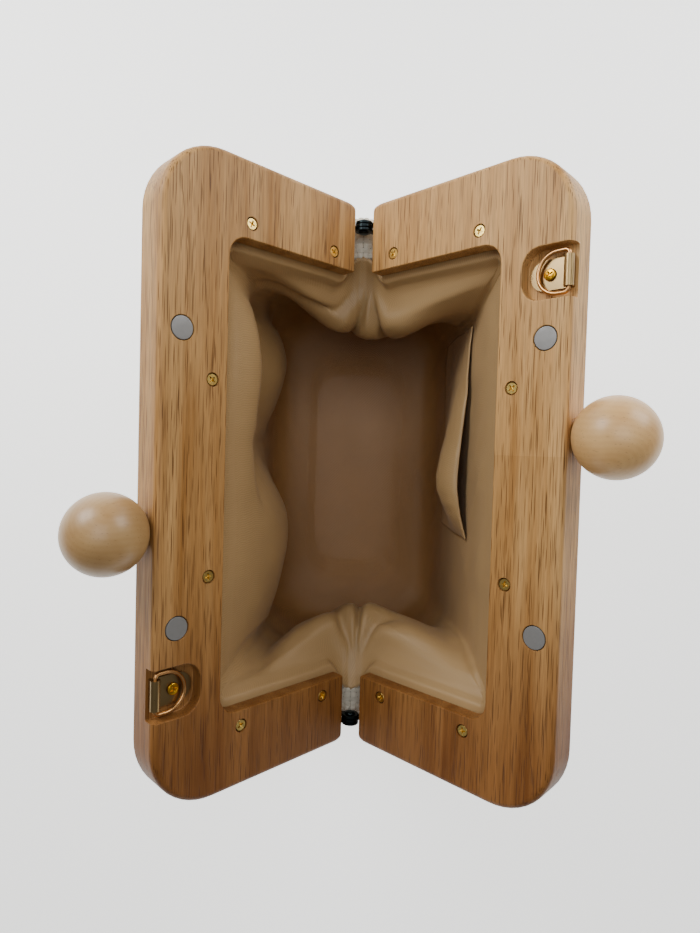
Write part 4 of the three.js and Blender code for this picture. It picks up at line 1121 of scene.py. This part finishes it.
def finish_cloth(thing, material, nodes, thickness, offset=1.0):
    thing.data.transform(Matrix.Scale(MM, 4))
    thing.data.materials.append(material)
    thing.data.shade_smooth()
    if thickness:
        modifier = thing.modifiers.new("thickness", "SOLIDIFY")
        modifier.thickness = thickness * MM
        modifier.offset = offset
    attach(thing, "bag")
    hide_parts(*nodes)
    return thing


def straw_grid(first, last, cloth):
    """Points and strand places of the straw between two columns, cut to whole strands."""
    rings = straw_rings()
    fine_t = np.linspace(0, len(rings) - 1, 480)
    mid = between(np.swapaxes(rings, 0, 1), np.linspace(first, last, 700) % len(COLUMNS), True)[:, 7]
    steps = np.concatenate([[0], np.cumsum(np.linalg.norm(np.diff(mid, axis=0), axis=1))])
    pitch = in_mm(cloth.strand)
    strands = round(steps[-1] / pitch)
    where = np.interp(np.linspace(0, steps[-1], strands * 4 + 1), steps, np.linspace(first, last, 700))
    by_column = between(np.swapaxes(rings, 0, 1), where % len(COLUMNS), True)
    dense = between(np.swapaxes(by_column, 0, 1), fine_t, False)
    lengths = np.linalg.norm(np.diff(dense, axis=0), axis=2)
    from_base = np.concatenate([np.zeros((1, dense.shape[1])), np.cumsum(lengths[::-1], axis=0)])
    rows = int(math.ceil(from_base[-1].max() / (pitch / 4))) + 1
    points = np.empty((rows, dense.shape[1], 3))
    places = np.empty((rows, dense.shape[1], 2))
    climb = np.arange(rows) * pitch / 4
    for k in range(dense.shape[1]):
        at = np.minimum(climb, from_base[-1, k])
        for axis in range(3):
            points[:, k, axis] = np.interp(at, from_base[:, k], dense[::-1, k, axis])
        places[:, k, 0] = k / 4
        places[:, k, 1] = at / pitch
    return points[::-1], places[::-1]


class HANDBAG_OT_straw(bpy.types.Operator):
    """Makes the woven straw body, its backing and its base"""

    bl_idname = "handbag.make_straw"
    bl_label = "Straw body"

    def execute(self, context):
        cloth = context.scene.handbag.cloth
        material = paper_straw("woven_paper_straw", cloth)
        relief = in_mm(cloth.relief)
        for side, first, last in (("right", -QUARTER, QUARTER), ("left", QUARTER, 3 * QUARTER)):
            points, places = straw_grid(first, last, cloth)
            normal = outward(points)
            in_cell = np.abs(places - np.floor(places) - 0.5) * 2
            odd = (np.floor(places[..., 0]) + np.floor(places[..., 1])) % 2
            across = np.where(odd > 0, in_cell[..., 1], in_cell[..., 0])
            along = np.where(odd > 0, in_cell[..., 0], in_cell[..., 1])
            height = (1 - across**4) * (1 - along**2)
            held = np.clip((points[..., 2] - 1.2) / 3, 0, 1)
            points = points + normal * ((height - 0.5) * relief * held + STRAW_WALL / 2 - relief / 2)[..., None]
            points[..., 2] = np.maximum(points[..., 2], 0.02)
            finish_cloth(cloth_sheet(f"straw_weave_{side}", points, places, "strands"), material, ["straw_body"], 0)
        self.make_backing(cloth, material)
        return {"FINISHED"}

    def make_backing(self, cloth, material):
        """The plain inner layer of the straw, and the base, as one closed cup."""
        rings = straw_rings()
        where = np.linspace(0, len(COLUMNS), 257)
        by_column = between(np.swapaxes(rings, 0, 1), where % len(COLUMNS), True)
        points = between(np.swapaxes(by_column, 0, 1), np.linspace(0, len(rings) - 1, 90), False)
        floor = points[-1]
        shrunk = [np.concatenate([floor[:, :2] * share, floor[:, 2:]], axis=1) for share in (0.93, 0.75, 0.5, 0.25, 0.02)]
        points = np.concatenate([points, shrunk])
        normal = outward(points)
        normal[-6:] = (0, 0, -1)
        pitch = in_mm(cloth.strand)
        places = np.concatenate([points[..., :1], points[..., 1:2]], axis=2) / pitch
        walls = points.shape[0] - 6
        places[:walls, :, 0] = where * 10 / 4
        places[:walls, :, 1] = points[:walls, :, 2] / pitch
        points = points - normal * 0.6
        points[..., 2] = np.maximum(points[..., 2], 0.9)
        backing = cloth_sheet("straw_backing", points, places, "strands")
        finish_cloth(backing, material, ["straw_body"], 0.9, 0.0)


def plump(distance, before, after, fullness=0.7):
    """A rounded hump that spreads differently on its two sides."""
    return window(distance, np.where(distance < 0, before, after)) ** fullness


def ramp(value, low, high):
    share = np.clip((value - low) / (high - low), 0, 1)
    return share * share * (3 - 2 * share)


def creases(a, b, seed, longest, amplitude):
    """Shallow random wrinkles over two lengths in mm."""
    pick = np.random.default_rng(seed)
    total = np.zeros_like(a)
    for _ in range(9):
        length = longest * pick.uniform(0.35, 1)
        turn, phase = pick.uniform(0, 2 * math.pi, 2)
        bent = 3 * np.sin((a + b) / (longest * 1.7) + phase)
        total += np.sin((a * math.cos(turn) + b * math.sin(turn) + bent) * 2 * math.pi / length + phase)
    return total * amplitude / 3


def gathers(points, hang, sign, knot_x, folds):
    """How far the gathers round a knot stand in from the cloth, from how far the cloth hangs below its edge."""
    x = points[..., 0] - knot_x
    direction = np.degrees(np.arctan2(x, np.maximum(hang, 0)))
    reach = np.hypot(x, hang)
    fan = ramp(reach, 1, 8) * (1 - ramp(np.hypot(x * 0.5, hang), 20, 44))
    height = sum(rise * np.exp(-(((direction - middle) / width) ** 2)) for middle, width, rise in folds)
    return height * fan * (points[..., 1] * sign > 0)


def lining_surface(columns, rows):
    """The lining's smooth surface with its folds: points in mm, its column and its share of the drop."""
    rings = lining_rings()
    where = np.linspace(0, len(COLUMNS), columns)
    by_column = between(np.swapaxes(rings, 0, 1), where % len(COLUMNS), True)
    t = np.linspace(0, len(rings) - 1, rows)
    points = between(np.swapaxes(by_column, 0, 1), t, False)
    drops = np.interp(t, range(len(rings)), [-0.12, -0.08, -0.04, 0] + [s[0] for s in LINING_SECTIONS] + [1.05])
    easing = (ramp(drops, -0.08, -0.03) * (1 - ramp(drops, 0.25, 0.45)))[1:-1, None, None]
    for _ in range(60):
        points[1:-1] += 0.25 * easing * (points[:-2] - 2 * points[1:-1] + points[2:])
    drop = np.repeat(drops[:, None], columns, axis=1)
    end = np.interp(where, range(len(COLUMNS) + 1), [end_share(c[0]) for c in COLUMNS] + [0])
    end = np.repeat(end[None, :], rows, axis=0)
    x, y, z = (points[..., k].copy() for k in range(3))
    free = ramp(drop, -0.03, 0.06)
    top = z[len(LINING_MOUTH) - 1][None, :] + 2
    for sign, middle, left, right, height, down, reach, fullness in SWAGS:
        up = np.maximum(1.25 * (top - height), 6)
        lean = plump(x - middle, left, right, fullness) * plump(z - height, down, up) * ramp(end, 0, 1) * (y * sign > 0)
        points[..., 1] -= sign * reach * lean * free
    for sign, middle, before, after, height, down, up, reach in WALL_FOLDS:
        lean = plump(y - middle, after, before) * plump(z - height, down, up) * (1 - end) * (x * sign > 0)
        points[..., 0] -= sign * reach * lean * free
    normal = outward(points)
    lengths = np.cumsum(np.linalg.norm(np.diff(points, axis=0, prepend=points[:1]), axis=2), axis=0)
    hang = lengths - lengths[np.searchsorted(drops, 0)]
    stand = sum(gathers(points, hang, *gather) for gather in GATHERS) * end**2
    tucks = 0.6 * np.sin(x * 2 * math.pi / 3 + 1) * window(x, 6) * (np.abs(y) > 80) * (1 - ramp(drop, 0.02, 0.14))
    slack = creases(x + y, z, 7, 60, 0.55) * (0.4 + 0.6 * end) + creases(x - y, z, 11, 30, 0.14)
    slack *= ramp(drop, 0, 0.12) * (1 - ramp(drop, 0.9, 1))
    points = points - normal * ((stand + slack) * free + tucks)[..., None]
    return points, where, drop


class HANDBAG_OT_lining(bpy.types.Operator):
    """Makes the satin twill lining and its inner slip pocket"""

    bl_idname = "handbag.make_lining"
    bl_label = "Lining"

    def execute(self, context):
        cloth = context.scene.handbag.cloth
        material = satin_twill("satin_twill_lining", cloth)
        points, where, drop = lining_surface(321, 116)
        floor = points[-1]
        shrunk = [np.concatenate([floor[:, :2] * share, floor[:, 2:]], axis=1) for share in (0.84, 0.68, 0.52, 0.36, 0.2, 0.08, 0)]
        walls = len(points)
        points = np.concatenate([points, shrunk])
        low = points[walls - 1 :]
        low[..., 2] += 1.6 * np.sin(low[..., 0] / 17 + low[..., 1] / 41) * (1 - np.linspace(1, 0, len(low))[:, None] ** 2)
        around = np.cumsum(np.linalg.norm(np.diff(points, axis=1, prepend=points[:, :1]), axis=2), axis=1)
        down = np.cumsum(np.linalg.norm(np.diff(points, axis=0, prepend=points[:1]), axis=2), axis=0)
        places = np.stack([around - around[:, 80:81], down], axis=2)
        places[walls:] = points[walls:, :, :2]
        finish_cloth(cloth_sheet("lining_cloth", points, places, "cloth_mm"), material, ["lining"], 0.5, 0.0)
        self.make_pocket(material)
        return {"FINISHED"}

    def make_pocket(self, material):
        """The slip pocket: a panel on the right wall whose hem stands off."""
        points, where, drop = lining_surface(1201, 120)
        normal = outward(points)
        shares = drop[:, 0]
        top, bottom = np.searchsorted(shares, [0.24, 0.74])
        rows = np.linspace(top, bottom, 48).astype(int)
        across = np.linspace(-2.8, 6.9, 84)
        column = np.rint((across % len(COLUMNS)) / len(COLUMNS) * 1200).astype(int)
        gape = np.interp(across, [-2.8, -2, -1.2, -0.5, 0.1, 1, 2, 3, 4, 5, 6.9], [0, 4.6, 9.5, 12, 12.2, 10.4, 8.2, 6, 3.6, 1.6, 0])
        gape = gape[None, :] * np.interp(shares[rows], [0.24, 0.28, 0.33, 0.42, 0.56, 0.74], [0.3, 0.72, 1, 0.82, 0.28, 0])[:, None]
        panel = points[np.ix_(rows, column)] - normal[np.ix_(rows, column)] * (gape + 1.25)[..., None]
        places = np.stack(np.broadcast_arrays(across[None, :] * 12, np.arange(48)[:, None] * 1.6), axis=2)
        finish_cloth(cloth_sheet("pocket_cloth", panel, places, "cloth_mm"), material, ["lining_pocket"], 0.5, 0.0)


# Stage.


class HANDBAG_OT_stage(bpy.types.Operator):
    """Makes the floor, the soft lights and the camera"""

    bl_idname = "handbag.make_stage"
    bl_label = "Stage"

    def execute(self, context):
        stage = context.scene.handbag.stage
        self.make_camera(context)
        bm = bmesh.new()
        bmesh.ops.create_grid(bm, x_segments=1, y_segments=1, size=4.0)
        bmesh.ops.translate(bm, verts=bm.verts, vec=(0, 0, -0.0004))
        floor = as_object(bm, "floor")
        material, tree, shader = start_material("painted_board", {"Roughness": 0.9, "Base Color": stage.floor, "Emission Color": stage.floor, "Emission Strength": 1.5})
        floor.data.materials.append(material)
        world = bpy.data.worlds.new("studio")
        world.use_nodes = True
        world.node_tree.nodes["Background"].inputs["Color"].default_value = (1, 1, 1, 1)
        world.node_tree.nodes["Background"].inputs["Strength"].default_value = 0.16
        context.scene.world = world
        for name, place, size, watts in (
            ("window side", (-0.35, 0.34, 0.38), 0.26, stage.key_watts),
            ("far side", (0.36, 0.34, 0.34), 0.26, stage.key_watts * 0.62),
            ("overhead", (0, 0.15, 0.8), 0.42, stage.key_watts * 0.68),
        ):
            light = bpy.data.lights.new(name, "AREA")
            light.size = size
            light.energy = watts
            lamp = bpy.data.objects.new(name, light)
            context.scene.collection.objects.link(lamp)
            lamp.matrix_world = Matrix.Translation(place) @ (-Vector(place)).to_track_quat("-Z", "Y").to_matrix().to_4x4()
        return {"FINISHED"}

    def make_camera(self, context):
        """The photograph's view, nearly straight down into the mouth."""
        camera = bpy.data.cameras.new("camera")
        camera.sensor_width = 36
        camera.lens = 23.11
        camera.clip_start = 0.01
        seen = bpy.data.objects.new("camera", camera)
        context.scene.collection.objects.link(seen)
        turn = (
            Matrix.Rotation(math.radians(-1.607), 3, "Z")
            @ Matrix.Rotation(math.radians(0.355), 3, "Y")
            @ Matrix.Rotation(math.radians(1.855), 3, "X")
        )
        place = Matrix.Translation((-5.14 * MM, 13.48 * MM, (281.73 + HINGE_HEIGHT) * MM))
        seen.matrix_world = place @ turn.transposed().to_4x4()
        context.scene.camera = seen


class HANDBAG_PT_panel(bpy.types.Panel):
    bl_label = "Handbag"
    bl_idname = "HANDBAG_PT_panel"
    bl_space_type = "VIEW_3D"
    bl_region_type = "UI"
    bl_category = "Handbag"

    def draw(self, context):
        settings = context.scene.handbag
        for group in (settings.wood, settings.metal, settings.cloth, settings.stage):
            column = self.layout.column(align=True)
            for name in type(group).__annotations__:
                column.prop(group, name)
        for operator in OPERATORS:
            self.layout.operator(operator.bl_idname)


OPERATORS = (
    HANDBAG_OT_stage,
    HANDBAG_OT_frame,
    HANDBAG_OT_balls,
    HANDBAG_OT_screws,
    HANDBAG_OT_magnets,
    HANDBAG_OT_drings,
    HANDBAG_OT_hinges,
    HANDBAG_OT_straw,
    HANDBAG_OT_lining,
)
CLASSES = (WoodSettings, MetalSettings, ClothSettings, StageSettings, HandbagSettings) + OPERATORS + (HANDBAG_PT_panel,)


def register():
    for cls in CLASSES:
        bpy.utils.register_class(cls)
    bpy.types.Scene.handbag = PointerProperty(type=HandbagSettings)


def unregister():
    del bpy.types.Scene.handbag
    for cls in reversed(CLASSES):
        bpy.utils.unregister_class(cls)


def main():
    register()
    bpy.ops.handbag.make_stage()
    bpy.ops.handbag.make_frame()
    bpy.ops.handbag.make_balls()
    bpy.ops.handbag.make_screws()
    bpy.ops.handbag.make_magnets()
    bpy.ops.handbag.make_drings()
    bpy.ops.handbag.make_hinges()
    bpy.ops.handbag.make_straw()
    bpy.ops.handbag.make_lining()


if __name__ == "__main__":
    main()
